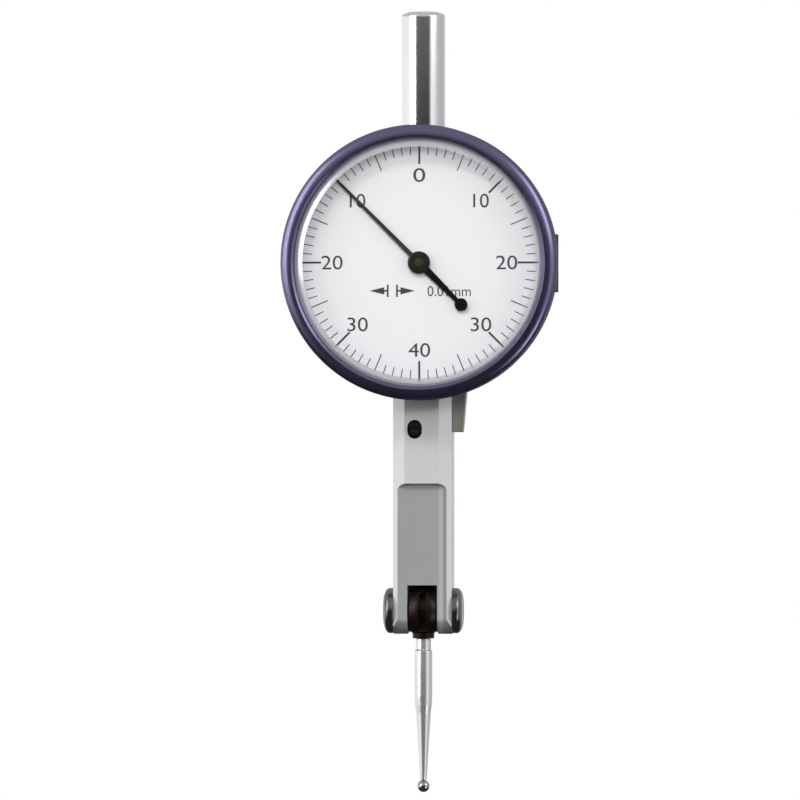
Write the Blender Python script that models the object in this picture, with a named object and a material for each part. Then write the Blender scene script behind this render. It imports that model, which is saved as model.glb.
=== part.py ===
import math

import bmesh
import bpy

# Lever-type dial test indicator, modelled in metres with +Z up and the dial facing -Y.
# The world origin is the middle of the gripped length of the stem.

MM = 0.001
SEAT = 0.05 * MM
RUNNING = 0.05 * MM

# Places of the main axes, from the centre of the dial
DIAL_Z = -26.4 * MM
PIVOT_Z = -47.5 * MM
CROWN_Y = -2.0 * MM
CHANGEOVER_Y = 0.5 * MM
CHANGEOVER_Z = -16.4 * MM

# Gear train: the lever drives the sector, the sector the crown wheel, the crown wheel the pointer
MODULE = 0.2 * MM
SECTOR_TEETH = 40
CROWN_PINION_LEAVES = 8
CROWN_TEETH = 36
CENTRE_PINION_LEAVES = 6
TEETH_ON_SECTOR = 6
MEASURING_LENGTH = 24.0 * MM
TRAVEL_PER_TURN = 0.8 * MM
LEVER_RATIO = (
    2.0 * math.pi * MEASURING_LENGTH / TRAVEL_PER_TURN
    / (SECTOR_TEETH / CROWN_PINION_LEAVES)
    / (CROWN_TEETH / CENTRE_PINION_LEAVES)
)
SECTOR_RADIUS = 0.5 * SECTOR_TEETH * MODULE
CROWN_PINION_RADIUS = 0.5 * CROWN_PINION_LEAVES * MODULE
CROWN_RADIUS = 0.5 * CROWN_TEETH * MODULE
CENTRE_PINION_RADIUS = 0.5 * CENTRE_PINION_LEAVES * MODULE
SECTOR_Z = -math.sqrt((SECTOR_RADIUS + CROWN_PINION_RADIUS) ** 2 - CROWN_Y**2)
SECTOR_ARM = (SECTOR_Z - PIVOT_Z) / (1.0 + LEVER_RATIO)
LEVER_ARM = SECTOR_ARM * LEVER_RATIO

# Bezel, crystal and dial, as radii and places along Y
BEZEL_RADIUS = 18.75 * MM
BEZEL_FRONT = -11.85 * MM
BEZEL_REAR = -4.9 * MM
BEZEL_CREST_OUT = 18.1 * MM
BEZEL_CREST_IN = 17.3 * MM
BEZEL_LIP_RADIUS = 16.95 * MM
BEZEL_LIP_FRONT = -11.5 * MM
BEZEL_LIP_BACK = -10.75 * MM
BEZEL_BORE = 17.05 * MM
BEZEL_SHOULDER = -7.6 * MM
CRYSTAL_THICK = 0.85 * MM
CRYSTAL_FRONT = -11.25 * MM
CRYSTAL_FLAT = 15.7 * MM
CRYSTAL_NECK = 16.88 * MM
SPACER_INNER = 16.5 * MM
DIAL_FRONT = -8.5 * MM
DIAL_THICK = 0.4 * MM
DIAL_HOLE = 1.0 * MM
RETAINER_INNER = 15.8 * MM
RETAINER_THICK = 0.4 * MM

# Case: the round drum behind the bezel
REGISTER_RADIUS = 17.3 * MM
REGISTER_FRONT = -7.3 * MM
REGISTER_REAR = -4.6 * MM
WEB_BACK = -6.3 * MM
DRUM_RADIUS = 15.2 * MM
CAVITY_RADIUS = 13.2 * MM
CASE_BACK = 4.0 * MM
COVER_RADIUS = 14.2 * MM
COVER_THICK = 0.95 * MM
SNAP_LOW = -6.45 * MM
SNAP_HIGH = -5.75 * MM
SNAP_DEPTH = 0.45 * MM
COVER_SCREW_CIRCLE = 11.6 * MM
COVER_SCREW_ANGLES = (40.0, 140.0, 220.0, 320.0)
COVER_BOSS_RADIUS = 1.7 * MM

# Arm and fork below the drum
ARM_HALF_WIDTH = 4.0 * MM
ARM_FRONT = -4.0 * MM
ARM_CHAMFER = 1.64 * MM
ARM_BACK_CHAMFER = 0.6 * MM
ARM_TOP = -14.35 * MM
PANEL_TOP = -30.1 * MM
PANEL_FRONT = -3.0 * MM
PANEL_HALF_WIDTH = 3.45 * MM
PANEL_CORNER = 1.3 * MM
EAR_RADIUS = 3.2 * MM
FORK_TOP = -44.0 * MM
FORK_HALF_WIDTH = 2.05 * MM
FORK_SHIELD_FRONT = 2.6 * MM
FORK_SHIELD_LOW = -44.9 * MM
TUNNEL_HALF_WIDTH = 1.5 * MM
TUNNEL_HALF_DEPTH = 1.9 * MM
ARM_WINDOW = (-38.0 * MM, -20.0 * MM)
ARM_COVER_HALF_WIDTH = 2.65 * MM
ARM_COVER_SPAN = (-41.6 * MM, -16.9 * MM)
ARM_COVER_SCREWS = (-40.0 * MM, -18.4 * MM)

# Stem on top of the drum
STEM_RADIUS = 3.0 * MM
STEM_TOP = 34.4 * MM
STEM_SEAT = 15.4 * MM
STEM_SPIGOT_RADIUS = 1.8 * MM
STEM_SPIGOT_END = 13.3 * MM
STEM_EDGE_WIDTH = 1.1 * MM
STEM_EDGE_HEIGHT = 0.5 * MM

# Dovetails on the right side and on the back
DOVETAIL_HALF_WIDTH = 3.95 * MM
DOVETAIL_HALF_WAIST = 2.75 * MM
SIDE_DOVETAIL_ROOT = 15.3 * MM
SIDE_DOVETAIL_FACE = 18.3 * MM
SIDE_DOVETAIL_SPAN = (-3.7 * MM, 3.5 * MM)
SIDE_DOVETAIL_SCREW_Y = (-2.1 * MM, 1.9 * MM)
BACK_DOVETAIL_FACE = 6.2 * MM
BACK_DOVETAIL_HALF_LENGTH = 7.0 * MM
BACK_DOVETAIL_SCREW_Z = (-4.2 * MM, 4.2 * MM)

# Pointer and its arbor
POINTER_REST_ANGLE = -45.0
POINTER_LENGTH = 15.9 * MM
POINTER_TIP_HALF = 0.18 * MM
POINTER_ROOT_HALF = 0.34 * MM
POINTER_DISC = 1.4 * MM
TAIL_LENGTH = 8.1 * MM
TAIL_ROOT_HALF = 0.5 * MM
TAIL_END_HALF = 0.3 * MM
TAIL_DISC = 0.88 * MM
POINTER_FRONT = -9.2 * MM
POINTER_THICK = 0.2 * MM
POINTER_BOSS = 1.53 * MM
CENTRE_ARBOR_RADIUS = 0.32 * MM
CENTRE_PIVOT_RADIUS = 0.25 * MM
CENTRE_PINION_SPAN = (-5.98 * MM, -5.2 * MM)

# Movement frame: two plates across X, held apart by pillars
LEFT_PLATE = (-3.4 * MM, -2.7 * MM)
RIGHT_PLATE = (2.9 * MM, 3.6 * MM)
PLATE_FRONT = -6.25 * MM
PLATE_BACK = 1.7 * MM
PLATE_TOP = 6.3 * MM
PLATE_BOTTOM = -7.7 * MM
FOOT_LENGTH = 2.8 * MM
FOOT_THICK = 0.7 * MM
FOOT_SPAN = (-3.0 * MM, 1.0 * MM)
FRAME_SCREW_Z = -1.0 * MM
PILLAR_RADIUS = 0.7 * MM
PILLARS = {"upper_pillar": (-2.0 * MM, 5.2 * MM), "lower_pillar": (-4.6 * MM, -6.3 * MM)}
CROWN_ARBOR_RADIUS = 0.4 * MM
SECTOR_ARBOR_RADIUS = 0.5 * MM
SECTOR_PLANE = (-1.3 * MM, -0.7 * MM)
CROWN_PINION_SPAN = (-1.5 * MM, -0.5 * MM)
CROWN_BACK = 1.8 * MM
CROWN_WEB = 1.1 * MM
CROWN_FACE = (3.25 * MM, 3.95 * MM)
COCK_SPAN = (-5.05 * MM, -4.35 * MM)
COCK_END = 0.92 * MM
COCK_HALF_HEIGHT = 0.85 * MM
COCK_SCREW = (-5.0 * MM, -1.85 * MM)
JEWEL_RADIUS = 0.62 * MM
HAIRSPRING_PLANE = (-2.3 * MM, -1.9 * MM)
HAIRSPRING_RADII = (0.78 * MM, 1.95 * MM)
HAIRSPRING_TURNS = 3.5
HAIRSPRING_THICK = 0.08 * MM

# Measuring lever, hub, stylus and ball, from the pivot axis
LEVER_HALF_THICK = 0.4 * MM
LEVER_HALF_WIDTH = 0.7 * MM
LEVER_DISC = 2.4 * MM
DRIVE_PIN_RADIUS = 0.3 * MM
SHAFT_RADIUS = 0.8 * MM
SHAFT_PIVOT_RADIUS = 0.45 * MM
HUB_RADIUS = 3.42 * MM
HUB_HALF_WIDTH = 1.8 * MM
HUB_BOSS_RADIUS = 1.5 * MM
HUB_BOSS_END = 3.8 * MM
HUB_BRIDGE_ANGLE = 50.0
WASHER_RADIUS = 2.95 * MM
STYLUS_THREAD_RADIUS = 0.85 * MM
STYLUS_PROFILE = (
    (1.05, 3.87), (1.05, 5.3), (1.22, 5.5), (1.22, 11.8), (1.02, 14.0),
    (0.78, 17.7), (0.53, 21.8), (0.42, 23.18),
)
TIP_PIN_RADIUS = 0.26 * MM
BALL_RADIUS = 0.83 * MM
CAP_RADIUS = 3.1 * MM
CAP_RIM = 0.55 * MM
CAP_HEIGHT = 1.42 * MM
CAP_FLAT = 1.4 * MM
CAP_SHANK_RADIUS = 1.2 * MM

# Change-over lever on the right side of the arm
CHANGEOVER_TIP = -6.7 * MM
CHANGEOVER_THICK = 1.3 * MM
CHANGEOVER_BOSS = 1.5 * MM
CHANGEOVER_SPINDLE = 0.8 * MM

# Black screw in the front of the arm
SPAN_SCREW_X = -0.95 * MM
SPAN_SCREW_Z = -22.7 * MM
SPAN_POCKET_RADIUS = 1.0 * MM
SPAN_POCKET_STRETCH = 0.3 * MM
SPAN_POCKET_DEPTH = 0.8 * MM

AXES = {"X": (1.0, 0.0, 0.0), "Y": (0.0, 1.0, 0.0), "Z": (0.0, 0.0, 1.0)}


def clear_scene():
    for item in list(bpy.data.objects):
        bpy.data.objects.remove(item, do_unlink=True)


def finish(name, colour, roughness, metallic, alpha=1.0):
    # One Principled material for each kind of surface
    surface = bpy.data.materials.get(name)
    if surface is None:
        surface = bpy.data.materials.new(name)
        surface.use_nodes = True
        shader = surface.node_tree.nodes["Principled BSDF"]
        shader.inputs["Base Color"].default_value = (*colour, 1.0)
        shader.inputs["Roughness"].default_value = roughness
        shader.inputs["Metallic"].default_value = metallic
        shader.inputs["Alpha"].default_value = alpha
    return surface


def anodised_blue():
    return finish("anodised_blue", (0.10, 0.09, 0.22), 0.28, 0.9)


def satin_chrome():
    return finish("satin_chrome", (0.62, 0.62, 0.64), 0.34, 1.0)


def polished_chrome():
    return finish("polished_chrome", (0.75, 0.75, 0.77), 0.08, 1.0)


def hardened_steel():
    return finish("hardened_steel", (0.20, 0.20, 0.22), 0.3, 1.0)


def bright_steel():
    return finish("bright_steel", (0.58, 0.57, 0.55), 0.2, 1.0)


def carbide():
    return finish("carbide", (0.42, 0.42, 0.43), 0.12, 1.0)


def black_steel():
    return finish("black_steel", (0.02, 0.02, 0.022), 0.3, 0.6)


def brass():
    return finish("brass", (0.72, 0.53, 0.24), 0.3, 1.0)


def ruby():
    return finish("ruby", (0.5, 0.02, 0.06), 0.1, 0.0)


def dial_white():
    return finish("dial_white", (0.86, 0.86, 0.84), 0.5, 0.0)


def pointer_paint():
    return finish("pointer_paint", (0.03, 0.03, 0.025), 0.4, 0.0)


def crystal_clear():
    return finish("crystal_clear", (0.95, 0.97, 0.98), 0.03, 0.0, 0.2)


def place_empty(name, parent, location):
    mark = bpy.data.objects.new(name, None)
    mark.empty_display_size = 2.0 * MM
    bpy.context.scene.collection.objects.link(mark)
    mark.parent = parent
    mark.location = location
    return mark


def add_object(name, build, parent, surface, smooth_angle=35.0):
    # Closes the bmesh into an object with outward faces and smooth round sides
    bmesh.ops.remove_doubles(build, verts=build.verts, dist=1e-8)
    bmesh.ops.recalc_face_normals(build, faces=build.faces)
    mesh = bpy.data.meshes.new(name)
    build.to_mesh(mesh)
    build.free()
    mesh.shade_smooth()
    mesh.set_sharp_from_angle(angle=math.radians(smooth_angle))
    item = bpy.data.objects.new(name, mesh)
    bpy.context.scene.collection.objects.link(item)
    item.parent = parent
    item.data.materials.append(surface)
    return item


def point_on(axis, a, b, along):
    # Axis X takes (y, z), axis Y takes (x, z) and axis Z takes (x, y)
    if axis == "X":
        return (along, a, b)
    if axis == "Y":
        return (a, along, b)
    return (a, b, along)


def turned(name, parent, surface, axis, profile, segments=32, centre=(0.0, 0.0)):
    # Spins (radius, place along the axis) points. A profile that starts and ends on the axis is a
    # full solid, and any other is a ring
    build = bmesh.new()
    points = [build.verts.new(point_on(axis, radius, 0.0, along)) for radius, along in profile]
    edges = [build.edges.new(pair) for pair in zip(points, points[1:])]
    if profile[0][0] > 0.0:
        edges.append(build.edges.new((points[-1], points[0])))
    bmesh.ops.spin(
        build, geom=points + edges, cent=(0.0, 0.0, 0.0), axis=AXES[axis],
        angle=2.0 * math.pi, steps=segments, use_duplicate=False,
    )
    bmesh.ops.remove_doubles(build, verts=build.verts, dist=1e-7)
    item = add_object(name, build, parent, surface)
    item.location = point_on(axis, centre[0], centre[1], 0.0)
    return item


def prism(name, parent, surface, axis, outline, low, high):
    # Extrudes a flat outline from low to high along the axis
    build = bmesh.new()
    points = [build.verts.new(point_on(axis, a, b, low)) for a, b in outline]
    face = build.faces.new(points)
    grown = bmesh.ops.extrude_face_region(build, geom=[face])
    raised = [part for part in grown["geom"] if isinstance(part, bmesh.types.BMVert)]
    bmesh.ops.translate(build, verts=raised, vec=[(high - low) * k for k in AXES[axis]])
    return add_object(name, build, parent, surface)


def block(name, parent, surface, low, high):
    build = bmesh.new()
    bmesh.ops.create_cube(build, size=1.0)
    size = [b - a for a, b in zip(low, high)]
    middle = [(a + b) / 2.0 for a, b in zip(low, high)]
    bmesh.ops.scale(build, verts=build.verts, vec=size)
    bmesh.ops.translate(build, verts=build.verts, vec=middle)
    return add_object(name, build, parent, surface)


def lofted(name, parent, surface, sections):
    # Joins sections of equal point count in order and caps both ends
    build = bmesh.new()
    loops = [[build.verts.new(spot) for spot in section] for section in sections]
    count = len(loops[0])
    for here, there in zip(loops, loops[1:]):
        for k in range(count):
            after = (k + 1) % count
            build.faces.new((here[k], here[after], there[after], there[k]))
    build.faces.new(list(reversed(loops[0])))
    build.faces.new(loops[-1])
    return add_object(name, build, parent, surface)


def rod(name, parent, surface, axis, radius, low, high, centre=(0.0, 0.0), segments=20):
    profile = ((0.0, low), (radius, low), (radius, high), (0.0, high))
    return turned(name, parent, surface, axis, profile, segments, centre)


def ring(name, parent, surface, axis, inner, outer, low, high, segments=32, centre=(0.0, 0.0)):
    profile = ((inner, low), (outer, low), (outer, high), (inner, high))
    return turned(name, parent, surface, axis, profile, segments, centre)


def arc(radius, start, end, steps, centre=(0.0, 0.0)):
    # Points on a circle from one angle to another, in degrees
    angles = [math.radians(start + (end - start) * k / steps) for k in range(steps + 1)]
    return [
        (centre[0] + radius * math.cos(angle), centre[1] + radius * math.sin(angle))
        for angle in angles
    ]


def boolean(target, tool, operation):
    change = target.modifiers.new(tool.name, "BOOLEAN")
    change.object = tool
    change.operation = operation
    change.solver = "EXACT"
    tool.hide_render = True
    tool.display_type = "WIRE"


def cut(target, *tools):
    for tool in tools:
        boolean(target, tool, "DIFFERENCE")


def join(target, *tools):
    for tool in tools:
        boolean(target, tool, "UNION")


def meet(target, tool):
    boolean(target, tool, "INTERSECT")


def tooth_outline(teeth, pitch_radius, first_angle, count):
    # Trapezium teeth on a circle, narrower than their gaps so that the train runs freely
    tip = pitch_radius + 0.75 * MODULE
    root = pitch_radius - 1.15 * MODULE
    half_tip = 0.11 * math.pi * MODULE / tip
    half_root = 0.24 * math.pi * MODULE / root
    step = 2.0 * math.pi / teeth
    outline = []
    for k in range(count):
        middle = first_angle + k * step
        for radius, angle in (
            (root, middle - half_root), (tip, middle - half_tip),
            (tip, middle + half_tip), (root, middle + half_root),
        ):
            outline.append((radius * math.cos(angle), radius * math.sin(angle)))
    return outline


def slotted_screw(name, parent, axis, centre, head, shank, seat, outward, slot=True, surface=None):
    # Cheese-head screw: head and shank are (radius, length), seat is the underside of the head and
    # outward is +1 or -1 along the axis, towards the head's top
    surface = surface or bright_steel()
    head_radius, head_height = head
    shank_radius, shank_length = shank
    top = seat + outward * head_height
    profile = (
        (0.0, top), (head_radius, top), (head_radius, seat), (shank_radius, seat),
        (shank_radius, seat - outward * shank_length), (0.0, seat - outward * shank_length),
    )
    screw = turned(name, parent, surface, axis, profile, 12, centre)
    if slot:
        groove = 0.16 * head_radius
        depth = 0.45 * head_height
        low = point_on(axis, -1.5 * head_radius, -groove, min(top - outward * depth, top + outward * MM))
        high = point_on(axis, 1.5 * head_radius, groove, max(top - outward * depth, top + outward * MM))
        cut(screw, block(f"{name}_slot", screw, surface, low, high))
    return screw


def cover_screw_places():
    return [
        (COVER_SCREW_CIRCLE * math.sin(math.radians(a)), COVER_SCREW_CIRCLE * math.cos(math.radians(a)))
        for a in COVER_SCREW_ANGLES
    ]


def foot_places():
    # Where the feet of the movement plates are screwed to the front web
    return LEFT_PLATE[0] - 0.5 * FOOT_LENGTH, RIGHT_PLATE[1] + 0.5 * FOOT_LENGTH


def arm_form(centre):
    # Chamfered bar seen from above, met with the arm's side view, which ends in the round ears
    half, back = ARM_HALF_WIDTH, CASE_BACK
    section = [
        (-half, ARM_FRONT + ARM_CHAMFER), (-half + ARM_CHAMFER, ARM_FRONT),
        (half - ARM_CHAMFER, ARM_FRONT), (half, ARM_FRONT + ARM_CHAMFER),
        (half, back - ARM_BACK_CHAMFER), (half - ARM_BACK_CHAMFER, back),
        (-half + ARM_BACK_CHAMFER, back), (-half, back - ARM_BACK_CHAMFER),
    ]
    bar = prism("arm_bar", centre, satin_chrome(), "Z", section, PIVOT_Z - 5.0 * MM, ARM_TOP)
    start = math.degrees(math.acos(PANEL_FRONT / EAR_RADIUS))
    ear = arc(EAR_RADIUS, start, 360.0, 16, (0.0, PIVOT_Z))
    side = [(ARM_FRONT - MM, ARM_TOP + MM), (ARM_FRONT - MM, ear[0][1])] + ear + [
        (EAR_RADIUS, PIVOT_Z + 3.0 * MM), (back, PIVOT_Z + 6.0 * MM),
        (back + MM, PIVOT_Z + 6.0 * MM), (back + MM, ARM_TOP + MM),
    ]
    profile = prism("arm_side_view", centre, satin_chrome(), "X", side, -half - MM, half + MM)
    meet(bar, profile)
    return bar


def panel_cutter(centre):
    # Milled panel on the arm's front, round at its upper corners and open below
    corner = PANEL_HALF_WIDTH - PANEL_CORNER
    level = PANEL_TOP - PANEL_CORNER
    outline = arc(PANEL_CORNER, 0.0, 90.0, 6, (corner, level))
    outline += arc(PANEL_CORNER, 90.0, 180.0, 6, (-corner, level))
    outline += [(-PANEL_HALF_WIDTH, PIVOT_Z - 5.0 * MM), (PANEL_HALF_WIDTH, PIVOT_Z - 5.0 * MM)]
    return prism("panel_cut", centre, satin_chrome(), "Y", outline, ARM_FRONT - MM, PANEL_FRONT)


def make_housing(centre):
    surface = satin_chrome()
    profile = (
        (0.8 * MM, REGISTER_FRONT), (REGISTER_RADIUS, REGISTER_FRONT),
        (REGISTER_RADIUS, SNAP_LOW), (REGISTER_RADIUS - SNAP_DEPTH, SNAP_LOW),
        (REGISTER_RADIUS - SNAP_DEPTH, SNAP_HIGH), (REGISTER_RADIUS, SNAP_HIGH),
        (REGISTER_RADIUS, REGISTER_REAR), (DRUM_RADIUS, REGISTER_REAR),
        (DRUM_RADIUS, CASE_BACK), (COVER_RADIUS + SEAT, CASE_BACK),
        (COVER_RADIUS + SEAT, CASE_BACK - COVER_THICK - SEAT),
        (CAVITY_RADIUS, CASE_BACK - COVER_THICK - SEAT), (CAVITY_RADIUS, WEB_BACK),
        (0.8 * MM, WEB_BACK),
    )
    housing = turned("housing", centre, surface, "Y", profile, 52)
    join(
        housing,
        arm_form(centre),
        rod("stem_boss", centre, surface, "Z", 3.7 * MM, 14.4 * MM, STEM_SEAT, segments=32),
        block(
            "side_boss", centre, surface,
            (14.4 * MM, SIDE_DOVETAIL_SPAN[0], -DOVETAIL_HALF_WAIST),
            (SIDE_DOVETAIL_ROOT, SIDE_DOVETAIL_SPAN[1], DOVETAIL_HALF_WAIST),
        ),
        rod(
            "changeover_boss", centre, surface, "X", CHANGEOVER_BOSS,
            ARM_HALF_WIDTH - 0.3 * MM, ARM_HALF_WIDTH + 0.6 * MM, (CHANGEOVER_Y, CHANGEOVER_Z),
        ),
    )
    for number, place in enumerate(cover_screw_places(), 1):
        boss_end = CASE_BACK - COVER_THICK - SEAT
        join(housing, rod(
            f"cover_boss_{number}", centre, surface, "Y", COVER_BOSS_RADIUS,
            WEB_BACK - 0.2 * MM, boss_end - 0.05 * MM, place, 12,
        ))
        cut(housing, rod(
            f"cover_screw_hole_{number}", centre, surface, "Y", 0.65 * MM,
            0.3 * MM, boss_end + MM, place, 8,
        ))
    cut_arm(housing, centre)
    cut_fixings(housing, centre)
    return housing


def cut_arm(housing, centre):
    surface = satin_chrome()
    tunnel = block(
        "tunnel_cut", centre, surface,
        (-TUNNEL_HALF_WIDTH, -TUNNEL_HALF_DEPTH, FORK_TOP - MM),
        (TUNNEL_HALF_WIDTH, TUNNEL_HALF_DEPTH, ARM_TOP + 2.0 * MM),
    )
    window = block(
        "window_cut", centre, surface,
        (-TUNNEL_HALF_WIDTH, TUNNEL_HALF_DEPTH - 0.5 * MM, ARM_WINDOW[0]),
        (TUNNEL_HALF_WIDTH, CASE_BACK + MM, ARM_WINDOW[1]),
    )
    rabbet = block(
        "arm_cover_cut", centre, surface,
        (-ARM_COVER_HALF_WIDTH - SEAT, CASE_BACK - COVER_THICK - SEAT, ARM_COVER_SPAN[0] - SEAT),
        (ARM_COVER_HALF_WIDTH + SEAT, CASE_BACK + MM, ARM_COVER_SPAN[1] + SEAT),
    )
    # The slot stops lower behind the hub, which leaves a thin shield over its back
    front, back, low = ARM_FRONT - MM, CASE_BACK + MM, PIVOT_Z - 5.0 * MM
    slot_side = [
        (front, low), (back, low), (back, FORK_SHIELD_LOW), (FORK_SHIELD_FRONT, FORK_SHIELD_LOW),
        (FORK_SHIELD_FRONT, FORK_TOP), (front, FORK_TOP),
    ]
    fork = prism("fork_cut", centre, surface, "X", slot_side, -FORK_HALF_WIDTH, FORK_HALF_WIDTH)
    ear_holes = rod(
        "ear_hole_cut", centre, surface, "X", CAP_SHANK_RADIUS + SEAT,
        -ARM_HALF_WIDTH - MM, ARM_HALF_WIDTH + MM, (0.0, PIVOT_Z), 20,
    )
    cut(housing, panel_cutter(centre), tunnel, window, rabbet, fork, ear_holes)


def cut_fixings(housing, centre):
    surface = satin_chrome()
    stretch = SPAN_POCKET_STRETCH
    pocket_outline = arc(SPAN_POCKET_RADIUS, 0.0, 180.0, 8, (SPAN_SCREW_X, SPAN_SCREW_Z + stretch))
    pocket_outline += arc(SPAN_POCKET_RADIUS, 180.0, 360.0, 8, (SPAN_SCREW_X, SPAN_SCREW_Z - stretch))
    pocket = prism(
        "span_pocket_cut", centre, surface, "Y", pocket_outline,
        ARM_FRONT - MM, ARM_FRONT + SPAN_POCKET_DEPTH,
    )
    cut(
        housing, pocket,
        rod("span_hole_cut", centre, surface, "Y", 0.6 * MM, ARM_FRONT - MM,
            -TUNNEL_HALF_DEPTH + 0.3 * MM, (SPAN_SCREW_X, SPAN_SCREW_Z), 12),
        rod("stem_hole_cut", centre, surface, "Z", STEM_SPIGOT_RADIUS + SEAT,
            CAVITY_RADIUS - MM, STEM_SEAT + MM, segments=24),
        rod("changeover_hole_cut", centre, surface, "X", CHANGEOVER_SPINDLE + RUNNING,
            TUNNEL_HALF_WIDTH - 0.3 * MM, ARM_HALF_WIDTH + 2.0 * MM, (CHANGEOVER_Y, CHANGEOVER_Z), 16),
    )
    for number, level in enumerate(ARM_COVER_SCREWS, 1):
        cut(housing, rod(f"arm_screw_hole_{number}", centre, surface, "Y", 0.5 * MM,
                         TUNNEL_HALF_DEPTH - 0.3 * MM, CASE_BACK, (0.0, level), 12))
    for number, depth in enumerate(SIDE_DOVETAIL_SCREW_Y, 1):
        cut(housing, rod(f"side_screw_hole_{number}", centre, surface, "X", 0.6 * MM,
                         CAVITY_RADIUS - MM, SIDE_DOVETAIL_ROOT + MM, (depth, 0.0), 12))
    for number, x in enumerate(foot_places(), 1):
        cut(housing, rod(f"frame_screw_hole_{number}", centre, surface, "Y", 0.5 * MM,
                         WEB_BACK - 0.75 * MM, WEB_BACK + 0.3 * MM, (x, FRAME_SCREW_Z), 12))


def make_covers(centre):
    surface = satin_chrome()
    inner = CASE_BACK - COVER_THICK
    profile = (
        (0.0, inner), (COVER_RADIUS, inner), (COVER_RADIUS, CASE_BACK - 0.15 * MM),
        (COVER_RADIUS - 0.15 * MM, CASE_BACK), (0.0, CASE_BACK),
    )
    cover = turned("back_cover", centre, surface, "Y", profile, 36)
    join(cover, block("back_pad", centre, surface, (-2.6 * MM, 2.2 * MM, -6.0 * MM),
                      (2.6 * MM, inner + 0.3 * MM, 6.0 * MM)))
    head, shank = (1.25 * MM, 0.5 * MM), (0.58 * MM, 2.9 * MM)
    seat = CASE_BACK - head[1]
    for number, place in enumerate(cover_screw_places(), 1):
        cut(
            cover,
            rod(f"cover_counterbore_{number}", centre, surface, "Y", head[0] + 0.1 * MM,
                seat - SEAT, CASE_BACK + MM, place, 12),
            rod(f"cover_clearance_{number}", centre, surface, "Y", 0.7 * MM,
                inner - MM, CASE_BACK, place, 8),
        )
        slotted_screw(f"back_cover_screw_{number}", centre, "Y", place, head, shank, seat, 1.0)
    for number, level in enumerate(BACK_DOVETAIL_SCREW_Z, 1):
        cut(cover, rod(f"back_dovetail_thread_{number}", centre, surface, "Y", 0.65 * MM,
                       2.0 * MM, CASE_BACK + MM, (0.0, level), 12))
    arm_cover = block(
        "arm_cover", centre, surface,
        (-ARM_COVER_HALF_WIDTH, inner, ARM_COVER_SPAN[0]),
        (ARM_COVER_HALF_WIDTH, CASE_BACK, ARM_COVER_SPAN[1]),
    )
    head, shank = (0.9 * MM, 0.45 * MM), (0.42 * MM, 1.4 * MM)
    seat = CASE_BACK - head[1]
    for number, level in enumerate(ARM_COVER_SCREWS, 1):
        cut(
            arm_cover,
            rod(f"arm_counterbore_{number}", centre, surface, "Y", head[0] + 0.08 * MM,
                seat - SEAT, CASE_BACK + MM, (0.0, level), 16),
            rod(f"arm_clearance_{number}", centre, surface, "Y", 0.5 * MM,
                inner - MM, CASE_BACK, (0.0, level), 12),
        )
        slotted_screw(f"arm_cover_screw_{number}", centre, "Y", (0.0, level), head, shank, seat, 1.0)


def make_stem(centre):
    profile = (
        (0.0, STEM_TOP), (STEM_RADIUS - STEM_EDGE_WIDTH, STEM_TOP),
        (STEM_RADIUS - 0.25 * MM, STEM_TOP - 0.6 * STEM_EDGE_HEIGHT),
        (STEM_RADIUS, STEM_TOP - STEM_EDGE_HEIGHT), (STEM_RADIUS, STEM_SEAT + SEAT),
        (STEM_SPIGOT_RADIUS, STEM_SEAT + SEAT), (STEM_SPIGOT_RADIUS, STEM_SPIGOT_END),
        (0.0, STEM_SPIGOT_END),
    )
    turned("stem", centre, polished_chrome(), "Z", profile, 32)


def dovetail_outline(root, face):
    # Half widths: a waist at the root, flanks at 60 degrees, then the full width up to the face
    flank = (DOVETAIL_HALF_WIDTH - DOVETAIL_HALF_WAIST) * math.tan(math.radians(60.0)) * 0.75
    wide = face - 0.35 * MM
    narrow = max(wide - flank, root + 0.3 * MM)
    sides = [
        (root, DOVETAIL_HALF_WAIST), (narrow, DOVETAIL_HALF_WAIST),
        (wide, DOVETAIL_HALF_WIDTH), (face, DOVETAIL_HALF_WIDTH),
    ]
    return sides + [(depth, -half) for depth, half in reversed(sides)]


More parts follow.
